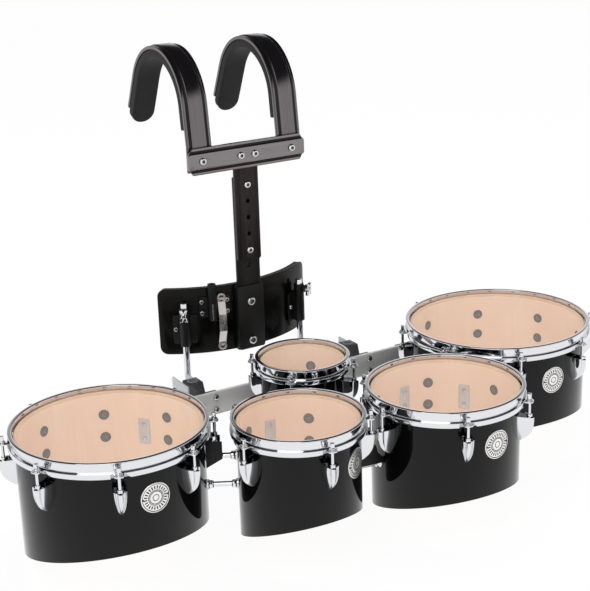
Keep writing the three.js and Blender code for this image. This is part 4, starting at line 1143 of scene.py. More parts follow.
@dataclass
class Lug:
    """A chromed casting: two side walls that run down to a point, a keel between them, and a
    pocket at the top that the tension rod goes into."""

    height: float = 47.0
    width: float = 22.0
    reach: float = 26.0
    rod_offset: float = 17.5
    pocket: float = 12.0
    pocket_wall: float = 2.2
    dip: float = 8.0
    dip_from: float = 0.55
    dip_width: float = 0.72
    nut_bore: float = 2.9
    nut_radius: float = 4.4
    nut_height: float = 3.5
    # How far out and how wide each corner of one half of the section is
    section_shares: tuple[Point, ...] = (
        (-0.06, 1.0), (0.35, 1.0), (0.62, 0.97), (0.75, 0.9), (0.81, 0.79), (0.79, 0.69),
        (0.7, 0.58), (0.71, 0.46), (0.84, 0.36), (0.95, 0.21), (1.0, 0.0),
    )
    # How far down, how wide and how far out each station of the casting is
    station_shares: tuple[Place, ...] = (
        (0.0, 1.0, 0.98), (0.06, 1.0, 1.0), (0.22, 0.98, 1.0), (0.4, 0.9, 0.97), (0.55, 0.79, 0.9),
        (0.68, 0.64, 0.78), (0.79, 0.48, 0.62), (0.88, 0.32, 0.43), (0.95, 0.17, 0.26), (1.0, 0.06, 0.12),
    )

    def form(self) -> Form:
        """Lofts the casting from the top down, and sinks its pocket.

        Returns:
            The lug, with X out from the shell and its top at Z zero.
        """
        form = Form()
        half = self.width / 2
        near = [(out * self.reach, across * half) for out, across in self.section_shares]
        far = [(x, -y) for x, y in reversed(near[:-1])]
        top = form.bm.faces.new([form.bm.verts.new((x, y, 0)) for x, y in near + far])
        edges = form.bm.edges[:]
        last = self.station_shares[0]
        bmesh.ops.scale(form.bm, vec=(last[2], last[1], 1), verts=form.bm.verts)
        for station in self.station_shares[1:]:
            verts, edges = form.grown(edges)
            stretch = (station[2] / last[2], station[1] / last[1], 1)
            bmesh.ops.scale(form.bm, vec=stretch, verts=verts)
            bmesh.ops.translate(form.bm, vec=(0, 0, (last[0] - station[0]) * self.height), verts=verts)
            last = station
        bmesh.ops.contextual_create(form.bm, geom=edges)
        form.sunk(top, self.pocket_wall, self.pocket)
        for vert in form.bm.verts:
            inside = 1 - (abs(vert.co.y) / (half * self.dip_width)) ** 2
            if vert.co.x > self.reach * self.dip_from and vert.co.z > -1 and inside > 0:
                vert.co.z -= self.dip * inside
        form.outward()
        nut = rectangle(self.nut_bore, self.nut_radius, -self.pocket * 0.6, self.nut_height)
        return form.add(Form.ring(nut, 24, 0.6, segments=2), [moved(x=self.rod_offset)])


@dataclass
class Drum:
    """One drum, from its shell to its badge."""

    name: str
    diameter: float
    lugs: int
    first_lug: float
    front_depth: float = 160.0
    back_depth: float = 240.0
    badge: Point | None = None
    # Bearing in degrees and drop of each backing plate inside the shell
    backings: tuple[Point, ...] = ()
    backing_size: Place = (20.0, 46.0, 2.4)
    steps: int = 144
    wall: float = 6.5
    edge_round: float = 2.0
    edge_drop: float = 7.5
    film_drop: float = 6.6
    collar_gap: float = 0.5
    collar_past: float = 6.2
    flesh_gap: float = 1.4
    flesh_width: float = 5.0
    flesh_height: float = 6.5
    bore: float = 1.8
    stock: float = 2.3
    hoop_height: float = 17.0
    flange: float = 4.8
    lip_reach: float = 6.3
    lip_height: float = 9.0
    lip_gap: float = 12.5
    lip_ramp: float = 7.0
    lip_least: float = 0.35
    ear_half: float = 8.0
    ear_past: float = 7.0
    ear_corner: float = 5.0
    ear_boss: tuple[float, ...] = (3.2, 6.0, 0.0, 1.0)
    rod_offset: float = 17.5
    rod_radius: float = 2.6
    rod_tip: float = -46.0
    rod_chamfer: float = 0.5
    head_half: float = 3.2
    head_heights: Point = (4.0, 12.6)
    lug_drop: float = 44.0
    washer_radius: float = 9.0
    washer_top: float = 2.0
    washer_screw: Point = (3.6, 2.4)
    backing_screw: Point = (4.2, 2.2)
    washer_drops: Point = (49.0, 90.5)
    badge_radius: float = 25.0
    badge_thickness: float = 1.5
    # Corners of turned sections: how far out from the shell and up from the top of the film
    film_outside: tuple[Point, ...] = (
        (-30, 0), (-1.6, 0), (-0.3, -0.3), (0.6, -1.2), (0.95, -2.6),
    )
    film_inside: tuple[Point, ...] = ((0.5, -2.7), (0.2, -1.6), (-0.6, -0.8), (-1.8, -0.5), (-30, -0.5))
    # Radius and height of the collar under a tension rod's head, above the ear
    rod_collar: tuple[Point, ...] = (
        (5.7, 0.6), (5.9, 1.0), (5.9, 2.0), (5.4, 2.4), (4.7, 2.5), (4.7, 3.6), (4.2, 4.1),
    )
    # Shares of the badge's radius and thickness, over its raised rings
    badge_face: tuple[Point, ...] = (
        (0.72, 0.72), (0.5, 0.72), (0.48, 0.95), (0.42, 0.95), (0.4, 0.72), (0.2, 0.72), (0, 0.72),
    )

    @property
    def radius(self) -> float:
        """The shell's outer radius."""
        return self.diameter / 2

    @property
    def middle(self) -> Vector:
        """The drum's axis, at the height of the rims."""
        place = centre(f"{self.name}_head")
        return Vector((place.x, place.y, RIM))

    @property
    def axis(self) -> Matrix:
        """The place of what is turned round the drum's axis."""
        return Matrix.Translation(self.middle)

    def round_about(self, out: float, height: float) -> list[Matrix]:
        """A place at every lug's bearing, with X out from the drum.

        Args:
            out: How far from the axis.
            height: How far above the rims.

        Returns:
            One place for each lug.
        """
        bearings = [self.first_lug + 360 / self.lugs * i for i in range(self.lugs)]
        return [self.axis @ turned(bearing) @ moved(out, 0, height) for bearing in bearings]

    def build(self) -> None:
        """Builds every piece of the drum."""
        self.build_shell()
        self.build_lugs()
        self.build_washers()
        if self.backings:
            self.build_backings()
        self.build_head()
        self.build_hoop()
        self.build_rods()
        if self.badge:
            self.build_badge(*self.badge)

    def build_shell(self) -> None:
        """Turns the ply shell, cuts its bottom on the slant and paints its two sides and its bearing
        edge, the edge partly in painted shade.
        """
        outer, inner = self.radius, self.radius - self.wall
        crown, top, spare = outer - self.edge_round, -self.edge_drop, 20.0
        foot = -self.back_depth - spare
        section = [(inner, foot), (outer, foot), (outer, top - self.edge_round), (crown, top)]
        form = Form.ring(section + [(inner, top - (crown - inner))], self.steps)
        slope = (self.back_depth - self.front_depth) / 2 / outer
        form.cut((0, 0, -(self.front_depth + self.back_depth) / 2), (0, slope, 1), drop=True)
        bmesh.ops.bridge_loops(form.bm, edges=[edge for edge in form.bm.edges if edge.is_boundary])
        form.outward().softened(0.8, 2, 50.0)
        form.bm.normal_update()
        # Faces that look up take the end-grain finish, darkened partly as painted shade.
        for face in form.bm.faces:
            outwards = face.calc_center_median().xy.to_3d().normalized()
            inside = face.normal.dot(outwards) < -0.5
            face.material_index = 2 if face.normal.z > 0.3 else int(inside)
        form.placed(self.axis).stand_in(
            f"{self.name}_shell", [BLACK_LACQUER, PLY, PLY_END_GRAIN_AND_SHADE], Slot.LACQUER, f"{self.name}_ply_shell"
        )

    def build_lugs(self) -> None:
        """Stands a lug on the shell at every bearing."""
        form = Form().add(Lug().form(), self.round_about(self.radius, -self.lug_drop))
        form.made(f"{self.name}_lugs", [CHROME], Slot.CHROME, smooth=42)

    def build_washers(self) -> None:
        """Puts the two washers of each lug, with their screws, on the shell's inner wall."""
        r, sunk, top = self.washer_radius, -0.6, self.washer_top
        washer = Form.spindle([(0, sunk), (r, sunk), (r, 1.4), (r - 0.8, top), (0, top)], 28)
        washer.add(ButtonScrew(*self.washer_screw).form().painted(1).placed(moved(z=top)))
        washer.placed(turned(-90, "Y"))
        form = Form()
        for drop in self.washer_drops:
            form.add(washer, self.round_about(self.radius - self.wall, -drop))
        form.made(f"{self.name}_lug_washers", [RUBBER, DARK_SCREW_AND_SOCKET_SHADE], Slot.BLACK_NYLON)

    def build_backings(self) -> None:
        """Screws a pale backing plate to the inner wall behind each of the drum's mounts."""
        wide, tall, thick = self.backing_size
        plate = Form.plate(rectangle(-wide / 2, wide / 2, -tall / 2, tall / 2), thick, 2.0, 0.5)
        spots = [moved(y=side * tall * 0.3, z=thick) for side in (-1, 1)]
        plate.add(ButtonScrew(*self.backing_screw).form().painted(1), spots)
        plate.placed(turned(-90) @ turned(90, "X"))
        form = Form()
        for bearing, drop in self.backings:
            wall = moved(self.radius - self.wall + 0.6, 0, -drop)
            form.add(plate, [self.axis @ turned(bearing) @ wall])
        form.made(f"{self.name}_backing_plates", [GUIDE_METAL, ZINC], Slot.BARE_ALUMINIUM)

    def build_head(self) -> None:
        """Stretches the film over the bearing edge, and sets its flesh hoop round the shell."""
        r, top, seat = self.radius, -self.film_drop, -self.hoop_height - self.stock
        outside, inside = (
            [(r + out, top + up) for out, up in shape] for shape in (self.film_outside, self.film_inside)
        )
        foot = seat - self.collar_past
        collar = [(outside[-1][0], foot), (r + self.collar_gap, foot)]
        section = [(0, top)] + outside + collar + inside + [(0, inside[-1][1])]
        Form.spindle(section, self.steps).placed(self.axis).stand_in(
            f"{self.name}_head", [FILM], Slot.FILM, f"{self.name}_film"
        )
        inner, top = r + self.flesh_gap, seat - 0.3
        hoop = rectangle(inner, inner + self.flesh_width, top - self.flesh_height, top)
        Form.ring(hoop, self.steps, 1.0).placed(self.axis).made(
            f"{self.name}_flesh_hoop", [FLESH_HOOP], Slot.FILM
        )

    def build_hoop(self) -> None:
        """Turns the flanged counter hoop, with a lip between the ears and an ear at each rod."""
        bore, wall = self.radius + self.bore, self.radius + self.bore + self.stock
        lip, seat, rim = wall + self.lip_reach, -self.hoop_height, wall + self.flange
        section = [
            (bore, seat - self.stock), (lip, seat - self.stock), (lip, seat), (wall, seat),
            (wall, -self.stock), (rim, -self.stock), (rim, 0), (bore, 0),
        ]
        form = Form.ring(section, self.steps, 1.1)
        turn = 360 / self.lugs
        open_angle = math.degrees(math.asin(self.lip_gap / lip))
        start, sweep = self.first_lug + open_angle, turn - 2 * open_angle
        top, bottom = seat - 1.0, seat - self.lip_height
        skirt = Form.ring(
            rectangle(lip - self.stock, lip, bottom, top), max(8, self.steps // self.lugs), 0.9,
            start, sweep, 2,
        )
        for vert in skirt.bm.verts:
            bearing = math.degrees(math.atan2(vert.co.y, vert.co.x)) - start
            past = min(bearing % 360, (sweep - bearing) % 360)
            share = min(1.0, math.radians(past) * lip / self.lip_ramp)
            rise = self.lip_least + (1 - self.lip_least) * math.sqrt(share * (2 - share))
            vert.co.z = top + (vert.co.z - top) * rise
        form.add(skirt, [turned(turn * i) for i in range(self.lugs)]).placed(self.axis)
        tip = self.rod_offset + self.ear_past
        outline = rectangle(self.bore + self.stock + 1, tip, -self.ear_half, self.ear_half)
        ear = Form.plate(outline, self.stock, self.ear_corner, 0.5)
        boss = Form.ring(rectangle(*self.ear_boss), 24, 0.3, segments=1)
        ear.add(boss, [moved(self.rod_offset, 0, self.stock - 0.2)])
        form.add(ear, self.round_about(self.radius, seat - self.stock))
        form.stand_in(f"{self.name}_hoop", [CHROME], Slot.CHROME, f"{self.name}_counter_hoop")

    def build_rods(self) -> None:
        """Screws a square-headed tension rod through each ear."""
        rod, tip, chamfer, half = self.rod_radius, self.rod_tip, self.rod_chamfer, self.head_half
        seat, top = self.head_heights
        foot = [(0, tip), (rod - chamfer, tip), (rod, tip + chamfer), (rod, self.rod_collar[0][1])]
        section = foot + list(self.rod_collar) + [(0, self.rod_collar[-1][1])]
        head = Form.plate(rectangle(-half, half, -half, half), top - seat, 0.7, 0.5, 2)
        head.placed(moved(z=seat))
        rods = self.round_about(self.radius + self.rod_offset, -self.hoop_height)
        Form().add(Form.spindle(section, 24).add(head), rods).made(
            f"{self.name}_tension_rods", [CHROME], Slot.CHROME, f"{self.name}_batter_hoop"
        )

    def build_badge(self, bearing: float, drop: float) -> None:
        """Rivets a plain ringed badge to the shell.

        Args:
            bearing: Where on the shell it sits, in degrees.
            drop: How far its middle is below the rims.
        """
        r, t = self.badge_radius, self.badge_thickness
        rim = [(0, 0), (r, 0), (r, t * 0.6), (r - 0.6, t), (r - 2.0, t), (r - 2.5, t * 0.72)]
        form = Form.spindle(rim + [(r * out, t * up) for out, up in self.badge_face], 64)
        uv = form.bm.loops.layers.uv.new("badge")
        for face in form.bm.faces:
            for loop in face.loops:
                loop[uv].uv = (loop.vert.co.x / (2 * r) + 0.5, loop.vert.co.y / (2 * r) + 0.5)
        rivet = Form.spindle([(0, 0), (1.9, 0), (1.7, 0.9), (1.0, 1.5), (0, 1.7)], 16).painted(1)
        form.add(rivet, [moved(side * r * 0.86, 0, t * 0.5) for side in (-1, 1)])
        form.placed(turned(90, "X")).wrapped(self.radius + 0.3)
        form.placed(self.axis @ turned(bearing + 90) @ moved(z=-drop)).made(
            f"{self.name}_badge", [BADGE, NYLON], Slot.BARE_ALUMINIUM
        )


# The frame that holds the drums


@dataclass
class DrumFrame:
    """Crossbar, blocks, brackets, receivers and the ties between neighbouring drums."""

    drums: dict[str, Drum]
    pairs: tuple[str, ...] = ("12_8", "8_10", "10_13")
    blocks: tuple[str, ...] = ("mount_block_12", "mount_block_6")
    gap: float = 0.3
    tie_radius: float = 4.5
    tie_drops: tuple[tuple[str, float], ...] = (("upper", 68.0), ("lower", 119.0))
    socket_radius: float = 9.0
    socket_neck: float = 7.0
    socket_length: float = 10.0
    bolt: Point = (6.2, 4.6)
    receiver_bolt: float = 35.0
    receiver_bolt_drops: Point = (84.5, 109.5)
    block_bolt: float = 11.0
    bracket_bolt: float = 18.0
    liner_bore: float = 6.9
    liner_radius: float = 10.5

    def build(self) -> None:
        """Builds every piece of the frame."""
        refined("crossbar", BAR_METAL, Slot.BARE_ALUMINIUM, 0.7)
        for node in self.blocks:
            refined(node, NYLON, Slot.BLACK_NYLON, 0.9)
        for node in ("end_bracket_13", "gusset_plate", "bridge_plate"):
            refined(node, POWDER, Slot.COATED_STEEL)
        self.build_bolts()
        for pair in self.pairs:
            for word, drop in self.tie_drops:
                self.build_tie(pair, word, drop)
        for side in Side:
            self.build_receiver(side)

    def build_bolts(self) -> None:
        """Puts the bolt heads on the crossbar's two faces."""
        front, back, mean = low("crossbar").y, high("crossbar").y, centre("crossbar").z
        faces = []
        for side in Side:
            x = centre(f"receiver_bushing_{side.word}").x + self.receiver_bolt
            faces += [(x, front, RIM - drop, Axis.FRONT) for drop in self.receiver_bolt_drops]
        for step in (-self.block_bolt, self.block_bolt):
            faces += [(centre(node).x + step, back, mean, Axis.BACK) for node in self.blocks]
            faces.append((low("end_bracket_13").x + self.bracket_bolt, front, mean + step, Axis.FRONT))
        places = [moved(x, y, z) @ way.value for x, y, z, way in faces]
        Form().add(ButtonScrew(*self.bolt).form(), places).made("crossbar_bolts", SCREW, Slot.CHROME)

    def build_tie(self, pair: str, word: str, drop: float) -> None:
        """Ties two drums with a tube and the flared socket at each of its ends.

        Args:
            pair: The sizes of the two drums, as the names of nodes have them.
            word: Whether it is the upper or the lower tie.
            drop: How far it is below the rims.
        """
        first, second = (self.drums[f"drum_{size}"] for size in pair.split("_"))
        along = (second.middle - first.middle).normalized()
        start = first.middle + along * (first.radius + self.gap) - Vector((0, 0, drop))
        end = second.middle - along * (second.radius + self.gap) - Vector((0, 0, drop))
        form = Form.bar(start, end, self.tie_radius, 32)
        r, neck, length = self.socket_radius, self.socket_neck, self.socket_length
        flare = [(0, 0), (r, 0), (r, 1.6), (r - 0.8, 2.6), (neck, 4.5), (neck - 0.2, length - 1.5)]
        socket = Form.spindle(flare + [(neck - 1.4, length), (0, length)], 32)
        for spot, way in ((start, along), (end, -along)):
            form.add(socket, [Matrix.Translation(spot) @ facing(way)])
        form.stand_in(f"tie_rod_{pair}_{word}", [CHROME], Slot.CHROME)

    def build_receiver(self, side: Side) -> None:
        """Builds the block that a hook lifts into, with its bushing and guide plates.

        Args:
            side: Which of the two it is.
        """
        refined(f"receiver_{side.word}", RECEIVER_PAINT, Slot.BLACK_ALUMINIUM, 1.0)
        node = f"receiver_bushing_{side.word}"
        section = rectangle(self.liner_bore, self.liner_radius, low(node).z, high(node).z)
        liner = Form.ring(section, 48, 0.9).placed(moved(centre(node).x, centre(node).y))
        liner.stand_in(node, [GREY_NYLON], Slot.GREY_NYLON)
        for word in ("a", "b"):
            refined(f"receiver_guide_{side.word}_{word}", GUIDE_METAL, Slot.BARE_ALUMINIUM, 0.5)


# The carrier


@dataclass
class HookRods:
    """Two chromed rods that hang from the clamps and hook up into the receivers."""

    radius: float = 6.35
    bend: float = 18.0
    bend_steps: int = 10
    top: float = 59.0
    run_drop: float = 138.0
    tip_drop: float = 57.0
    sides: int = 28

    def build(self, belly: "BellyPlate") -> None:
        """Bends each rod from its shank in the clamp to its tip in the receiver.

        Args:
            belly: The belly plate, which gives the shanks' places.
        """
        down, lift = Vector((0, 0, -1)), Vector((0, 0, 1))
        corners = [FULL_TURN * i / self.sides for i in range(self.sides)]
        for side in Side:
            toe = centre(f"receiver_bushing_{side.word}")
            shank = belly.rod_place(side)
            start = Vector((shank.x, shank.y, RIM + self.top))
            along = Vector((toe.x - shank.x, toe.y - shank.y, 0))
            run = along.length - 2 * self.bend
            along.normalize()
            section = [start + self.radius * Vector((math.cos(a), math.sin(a), 0)) for a in corners]
            way = Sweep(section, down, start)
            way.straight(self.top + self.run_drop - self.bend)
            way.bend(way.here + along * self.bend, down.cross(along), 90, self.bend_steps)
            way.straight(run)
            way.bend(way.here + lift * self.bend, along.cross(lift), 90, self.bend_steps)
            way.straight(self.run_drop - self.tip_drop - self.bend)
            way.closed().softened(0.9, 2, 60).stand_in(f"hook_rod_{side.word}", [CHROME], Slot.CHROME)


@dataclass
class BellyPlate:
    """The bowed plate with its pad, and what is bolted to its front."""

    radius: float = 250.0
    half_width: float = 160.0
    top: float = 82.0
    height: float = 130.0
    thickness: float = 3.5
    corner: float = 15.0
    strips: int = 48
    pad_rows: int = 12
    pad_thickness: float = 13.0
    pad_flat: float = 0.72
    pad_inset: float = 1.0
    pad_round: float = 4.0
    dent_pitch: float = 50.0
    dent_depth: float = 0.6
    rod_spacing: float = 251.0
    standoff: float = 14.5
    clamp_top: float = 50.0
    clamp_bottom: float = -25.0
    clamp_radius: float = 10.0
    clamp_bore: float = 6.75
    clamp_screw: Point = (-17.0, 5.0)
    foot_width: float = 46.0
    foot_top: float = 32.0
    foot_thickness: float = 4.0
    web: float = 9.0
    web_thickness: float = 5.0
    boss_bore: float = 3.4
    boss_radius: float = 7.0
    boss: float = 5.0
    wing_height: float = 41.0
    wing_reach: float = 10.0
    wing_thickness: float = 6.0
    stem_radius: float = 2.9
    stem_gap: float = 6.65
    # One quarter of the two wings' outline, and the hub's radius and height
    wing_quarter: tuple[Point, ...] = ((0.0, 6.0), (2.4, 11.2), (7.5, 12.0), (6.2, 4.0), (4.2, 0.0))
    wing_hub: tuple[Point, ...] = (
        (0, 0), (5.5, 0), (5.5, 1.0), (4.8, 7.5), (4.2, 11.2), (3.2, 12.0), (0, 12.2),
    )
    socket_offset: float = -71.0
    socket_radius: float = 8.0
    socket_bore: float = 5.6
    socket_split: float = 1.5
    socket_heights: Place = (20.0, 54.0, 92.0)
    socket_foot: tuple[float, ...] = (-24.0, 34.0, 25.0, 65.0)
    liner: Point = (4.9, 5.5)
    socket_screws: tuple[float, ...] = (-19.5, 29.5, 34.5, 56.5)
    gap: float = 0.3
    loop_offset: float = -54.0
    loop_top: float = 62.0
    loop_bottom: float = -36.0
    loop_width: float = 14.4
    loop_eye: float = 8.4
    loop_hole: float = 4.0
    loop_thickness: float = 3.0
    loop_bow: float = 14.0
    loop_seat: float = 5.5
    loop_ramp: float = 24.0
    loop_screw: Point = (5.0, 1.8)
    plate_screw: Point = (4.9, 3.6)
    column_bolts: Point = (48.0, -30.0)
    column_bolt: Point = (9.0, 5.0)

    @property
    def front(self) -> float:
        """Where the plate's front face is at its middle."""
        return low("belly_plate").y

    @property
    def half_panel(self) -> float:
        """Half the plate's width, laid flat."""
        return self.radius * math.asin(self.half_width / self.radius)

    @property
    def foot_front(self) -> float:
        """Where the feet's front faces are, in front of the plate."""
        return -self.foot_thickness - self.gap

    def around(self, offset: float, standoff: float = 0.0) -> Matrix:
        """The place on the plate's front at an offset from its middle.

        Args:
            offset: How far to the right of the middle.
            standoff: How far in front of the plate that offset is measured.

        Returns:
            A place whose Y is zero on the plate and runs back into it, at the rims' height.
        """
        angle = math.degrees(math.asin(offset / (self.radius + standoff)))
        axis = moved(CARRIER_X, self.front + self.radius, RIM)
        return axis @ turned(angle) @ moved(y=-self.radius)

    def clamp_place(self, side: Side) -> Matrix:
        """The place on the plate behind a hook rod."""
        return self.around(side.value * self.rod_spacing / 2, self.standoff)

    def rod_place(self, side: Side) -> Vector:
        """The axis of a hook rod's shank."""
        return (self.clamp_place(side) @ moved(y=-self.standoff)).translation

    def build(self) -> None:
        """Builds the plate, the pad and all that they carry."""
        self.build_plate()
        self.build_pad()
        for side in Side:
            self.build_clamp(side)
            self.build_wing(side)
        self.build_socket()
        self.build_loop()
        refined("column_bracket", POWDER, Slot.BLACK_ALUMINIUM)
        refined("bracket_cover", POWDER, Slot.BLACK_ALUMINIUM, 0.8)
        self.build_bolts()

    def panel(self, inset: float, corner: float) -> Form:
        """The flat panel that is bent to the plate's bow, cut into upright strips.

        Args:
            inset: How much smaller than the plate it is, all round.
            corner: The radius of its corners.

        Returns:
            The flat panel across Z.
        """
        half, bottom = self.half_panel - inset, self.top - self.height + inset
        form = Form.outline(rectangle(-half, half, bottom, self.top - inset), corner, 6)
        for i in range(1, self.strips):
            form.cut((half * (2 * i / self.strips - 1), 0, 0), (1, 0, 0))
        return form

    def bowed(self, form: Form) -> Form:
        """Bends a flat form with Z forwards to the plate's bow, in its place."""
        bent = form.placed(turned(90, "X")).wrapped(self.radius)
        return bent.placed(self.around(0.0) @ moved(y=self.radius))

    def build_plate(self) -> None:
        """Bends the enamelled plate."""
        form = self.panel(0.0, self.corner).thickened(-self.thickness).softened(0.9, 3, 60)
        self.bowed(form).stand_in("belly_plate", [ENAMEL], Slot.BLACK_ALUMINIUM)

    def build_pad(self) -> None:
        """Shapes the foam pad: crowned on the player's side, with drawn-in edges."""
        form = self.panel(self.pad_inset, self.corner - 1)
        for i in range(1, self.pad_rows):
            form.cut((0, self.top - self.height * i / self.pad_rows, 0), (0, 1, 0))
        deepest = self.pad_thickness * self.pad_flat
        form.thickened(-deepest).softened(self.pad_round, 4, 60)
        half, mean = self.half_panel - self.pad_inset, self.top - self.height / 2
        rise = self.height / 2 - self.pad_inset
        for vert in form.bm.verts:
            across, up = vert.co.x / half, (vert.co.y - mean) / rise
            crown = max(0.0, 1 - across**4) * max(0.0, 1 - up**4) * (1 - self.pad_flat)
            dent = noise.noise(vert.co / self.dent_pitch) * self.dent_depth
            vert.co.z += vert.co.z / deepest * (self.pad_thickness * crown + dent)
        form.placed(moved(z=-self.thickness - 0.5))
        self.bowed(form).stand_in("belly_pad", [FOAM], Slot.FOAM, "belly_pad_foam")

    def build_clamp(self, side: Side) -> None:
        """Builds a rod clamp: a tube on a flat foot, with a boss for the wing screw.

        Args:
            side: Which of the two it is.
        """
        axis, bottom, half = -self.standoff, self.clamp_bottom, self.foot_width / 2
        tube = rectangle(self.clamp_bore, self.clamp_radius, bottom, self.clamp_top)
        form = Form.ring(tube, 40, 0.8).placed(moved(y=axis))
        foot = rectangle(-half, half, bottom, self.foot_top)
        form.add(Form.upright(foot, self.foot_front, self.foot_thickness, 5.0, 0.7))
        for left in (-self.web, self.web - self.web_thickness):
            web = rectangle(left, left + self.web_thickness, bottom + 1, self.foot_top - 1)
            form.add(Form.upright(web, axis, self.standoff - 1.5, 0, 0.6))
        boss = Form.ring(rectangle(self.boss_bore, self.boss_radius, 0, self.boss + 3), 28, 0.7)
        form.add(boss, [moved(0, axis - self.clamp_radius + 3, self.wing_height) @ Axis.FRONT.value])
        form.placed(self.clamp_place(side)).stand_in(
            f"rod_clamp_{side.word}", [POWDER], Slot.BLACK_ALUMINIUM
        )

    def build_wing(self, side: Side) -> None:
        """Builds a wing screw: a hub with two forked wings.

        Args:
            side: Which of the two it is.
        """
        seat = -self.standoff - self.clamp_radius - self.boss - self.gap
        upper = list(self.wing_quarter)
        right = upper + [(x, -y) for x, y in reversed(upper[:-1])]
        outline = right + [(-x, y) for x, y in reversed(right[1:-1])]
        form = Form.upright(outline, seat - self.wing_reach, self.wing_thickness, 1.2, 1.1)
        form.add(Form.spindle(self.wing_hub, 28), [moved(0, seat, 0) @ Axis.FRONT.value])
        stem = Vector((0, seat - 1, 0)), Vector((0, -self.standoff - self.stem_gap, 0))
        form.add(Form.bar(*stem, self.stem_radius, 20))
        form.placed(self.clamp_place(side) @ moved(z=self.wing_height)).stand_in(
            f"wing_screw_{side.word}", [CHROME], Slot.CHROME
        )

    def build_socket(self) -> None:
        """Builds the accessory socket: a split tube on a flat foot, with a bright liner."""
        radius, bore, thick = self.socket_radius, self.socket_bore, self.foot_thickness
        bottom, split, top = self.socket_heights
        opening = math.degrees(2 * math.asin(self.socket_split / radius))
        lower = Form.ring(
            rectangle(bore, radius, bottom, split), 40, 0.5, -90 + opening / 2, 360 - opening
        )
        form = lower.add(Form.ring(rectangle(bore, radius, split, top), 40, 0.7))
        form.placed(moved(y=-radius - thick))
        form.add(Form.upright(rectangle(*self.socket_foot), self.foot_front, thick, 4.0, 0.6))
        place = self.around(self.socket_offset)
        form.placed(place).stand_in("centre_socket", [POWDER], Slot.BLACK_ALUMINIUM)
        liner = Form.ring(rectangle(*self.liner, bottom + 1, top - 1), 32)
        liner.placed(place @ moved(y=-radius - thick)).made(
            "centre_socket_liner", [ZINC], Slot.CHROME, Body.CARRIER_BASE.value
        )

    def build_loop(self) -> None:
        """Folds the chrome loop from flat strip, bowed out between the eyes at its two ends."""
        t, half, eye = self.loop_thickness, self.loop_width / 2, self.loop_eye
        low_turn, high_turn = self.loop_bottom + eye, self.loop_top - eye
        rise, bow, seat = self.loop_ramp, self.loop_bow, self.loop_seat
        side = [
            (0, self.loop_bottom), (t, self.loop_bottom), (t, low_turn), (bow, low_turn + rise),
            (bow, high_turn - rise), (seat + t, high_turn), (seat + t, self.loop_top),
            (seat, self.loop_top), (seat, high_turn - t / 2), (bow - t, high_turn - rise - t / 2),
            (bow - t, low_turn + rise + t / 2), (0, low_turn + t / 2),
        ]
        form = Form.upright(side, -half, 2 * half).softened(0.5, 2, 10).placed(turned(-90))
        ring = Form.ring(rectangle(self.loop_hole, eye, 0, t), 36, 0.6)
        ends = [(0.0, self.loop_bottom), (seat, self.loop_top)]
        form.add(ring, [moved(0, -out, z) @ Axis.FRONT.value for out, z in ends])
        place = self.around(self.loop_offset) @ moved(y=-self.gap)
        form.placed(place).stand_in("carry_loop", [SATIN_CHROME], Slot.CHROME)
        spots = [place @ moved(0, -out - t * 0.4, z) @ Axis.FRONT.value for out, z in ends]
        # Black screws, their sockets in painted shade.
        Form().add(ButtonScrew(*self.loop_screw).form(), spots).made(
            "carry_loop_screws", [NYLON, DARK_SCREW_AND_SOCKET_SHADE], Slot.BLACK_NYLON, Body.CARRIER_BASE.value
        )

    def build_bolts(self) -> None:
        """Puts the heads of the plate's screws and of the column's two large bolts."""
        foot = self.around(self.socket_offset) @ moved(y=self.foot_front)
        places = [foot @ moved(x=x, z=z) for x, z in rectangle(*self.socket_screws)]
        x, z = self.clamp_screw
        places += [self.clamp_place(side) @ moved(x, self.foot_front, z) for side in Side]
        spots = [moved(CARRIER_X, low("bracket_cover").y, RIM + z) for z in self.column_bolts]
        for name, screw, where in (
            ("belly_plate_screws", ButtonScrew(*self.plate_screw), places),
            ("column_bolts", ButtonScrew(*self.column_bolt), spots),
        ):
            Form().add(screw.form(), [spot @ Axis.FRONT.value for spot in where]).made(
                name, SCREW, Slot.CHROME, Body.CARRIER_BASE.value
            )


@dataclass
class Column:
    """The height-adjustable column, the T-bar and the screws through them."""

    groove: float = 3.0
    button_radius: float = 7.0
    button_height: float = 3.5
    shank: float = 3.2
    nut_radius: float = 6.0
    nut_height: float = 5.0

    def build(self) -> None:
        """Builds the column's pieces."""
        refined("column_bar", POWDER, Slot.BLACK_ALUMINIUM)
        refined("column_strap", COLUMN_METAL, Slot.ANODISED, 0.5)
        self.build_t_bar()
        for node in ("column_screw_lower", "column_screw_upper"):
            self.build_screw(node)
        for side in Side:
            for word in ("t_bar_screw", "pivot_screw"):
                self.build_screw(f"{word}_{side.word}", nut=True)

    def build_t_bar(self) -> None:
        """Breaks the T-bar's edges, and draws its two grooves in a darker black as painted shade."""
        form = Form.of_node("t_bar").softened(0.5)
        front = low("t_bar").y
        # Faces in the grooves take the second, darker finish: painted shade.
        for face in form.bm.faces:
            deep = face.calc_center_median().y - front
            face.material_index = groove_index(deep, face.normal.z, self.groove)
        form.stand_in("t_bar", [T_BAR_METAL, GROOVE_SHADE_METAL], Slot.ANODISED)

    def build_screw(self, node: str, nut: bool = False) -> None:
        """Builds a button screw along Y, with its nut at the back where it has one.

        Args:
            node: The CAD node that it stands for.
            nut: Whether a nut closes it.
        """
        front, back, middle = low(node).y, high(node).y, centre(node)
        seat = front + self.button_height
        form = ButtonScrew(self.button_radius, self.button_height, self.shank, back - seat).form()
        form.placed(moved(middle.x, seat, middle.z) @ Axis.FRONT.value)
        if nut:
            spot = moved(middle.x, back - self.nut_height, middle.z) @ Axis.BACK.value
            form.add(hex_nut(self.nut_radius, self.nut_height), [spot])
        form.stand_in(node, CHROME_SCREW, Slot.CHROME)


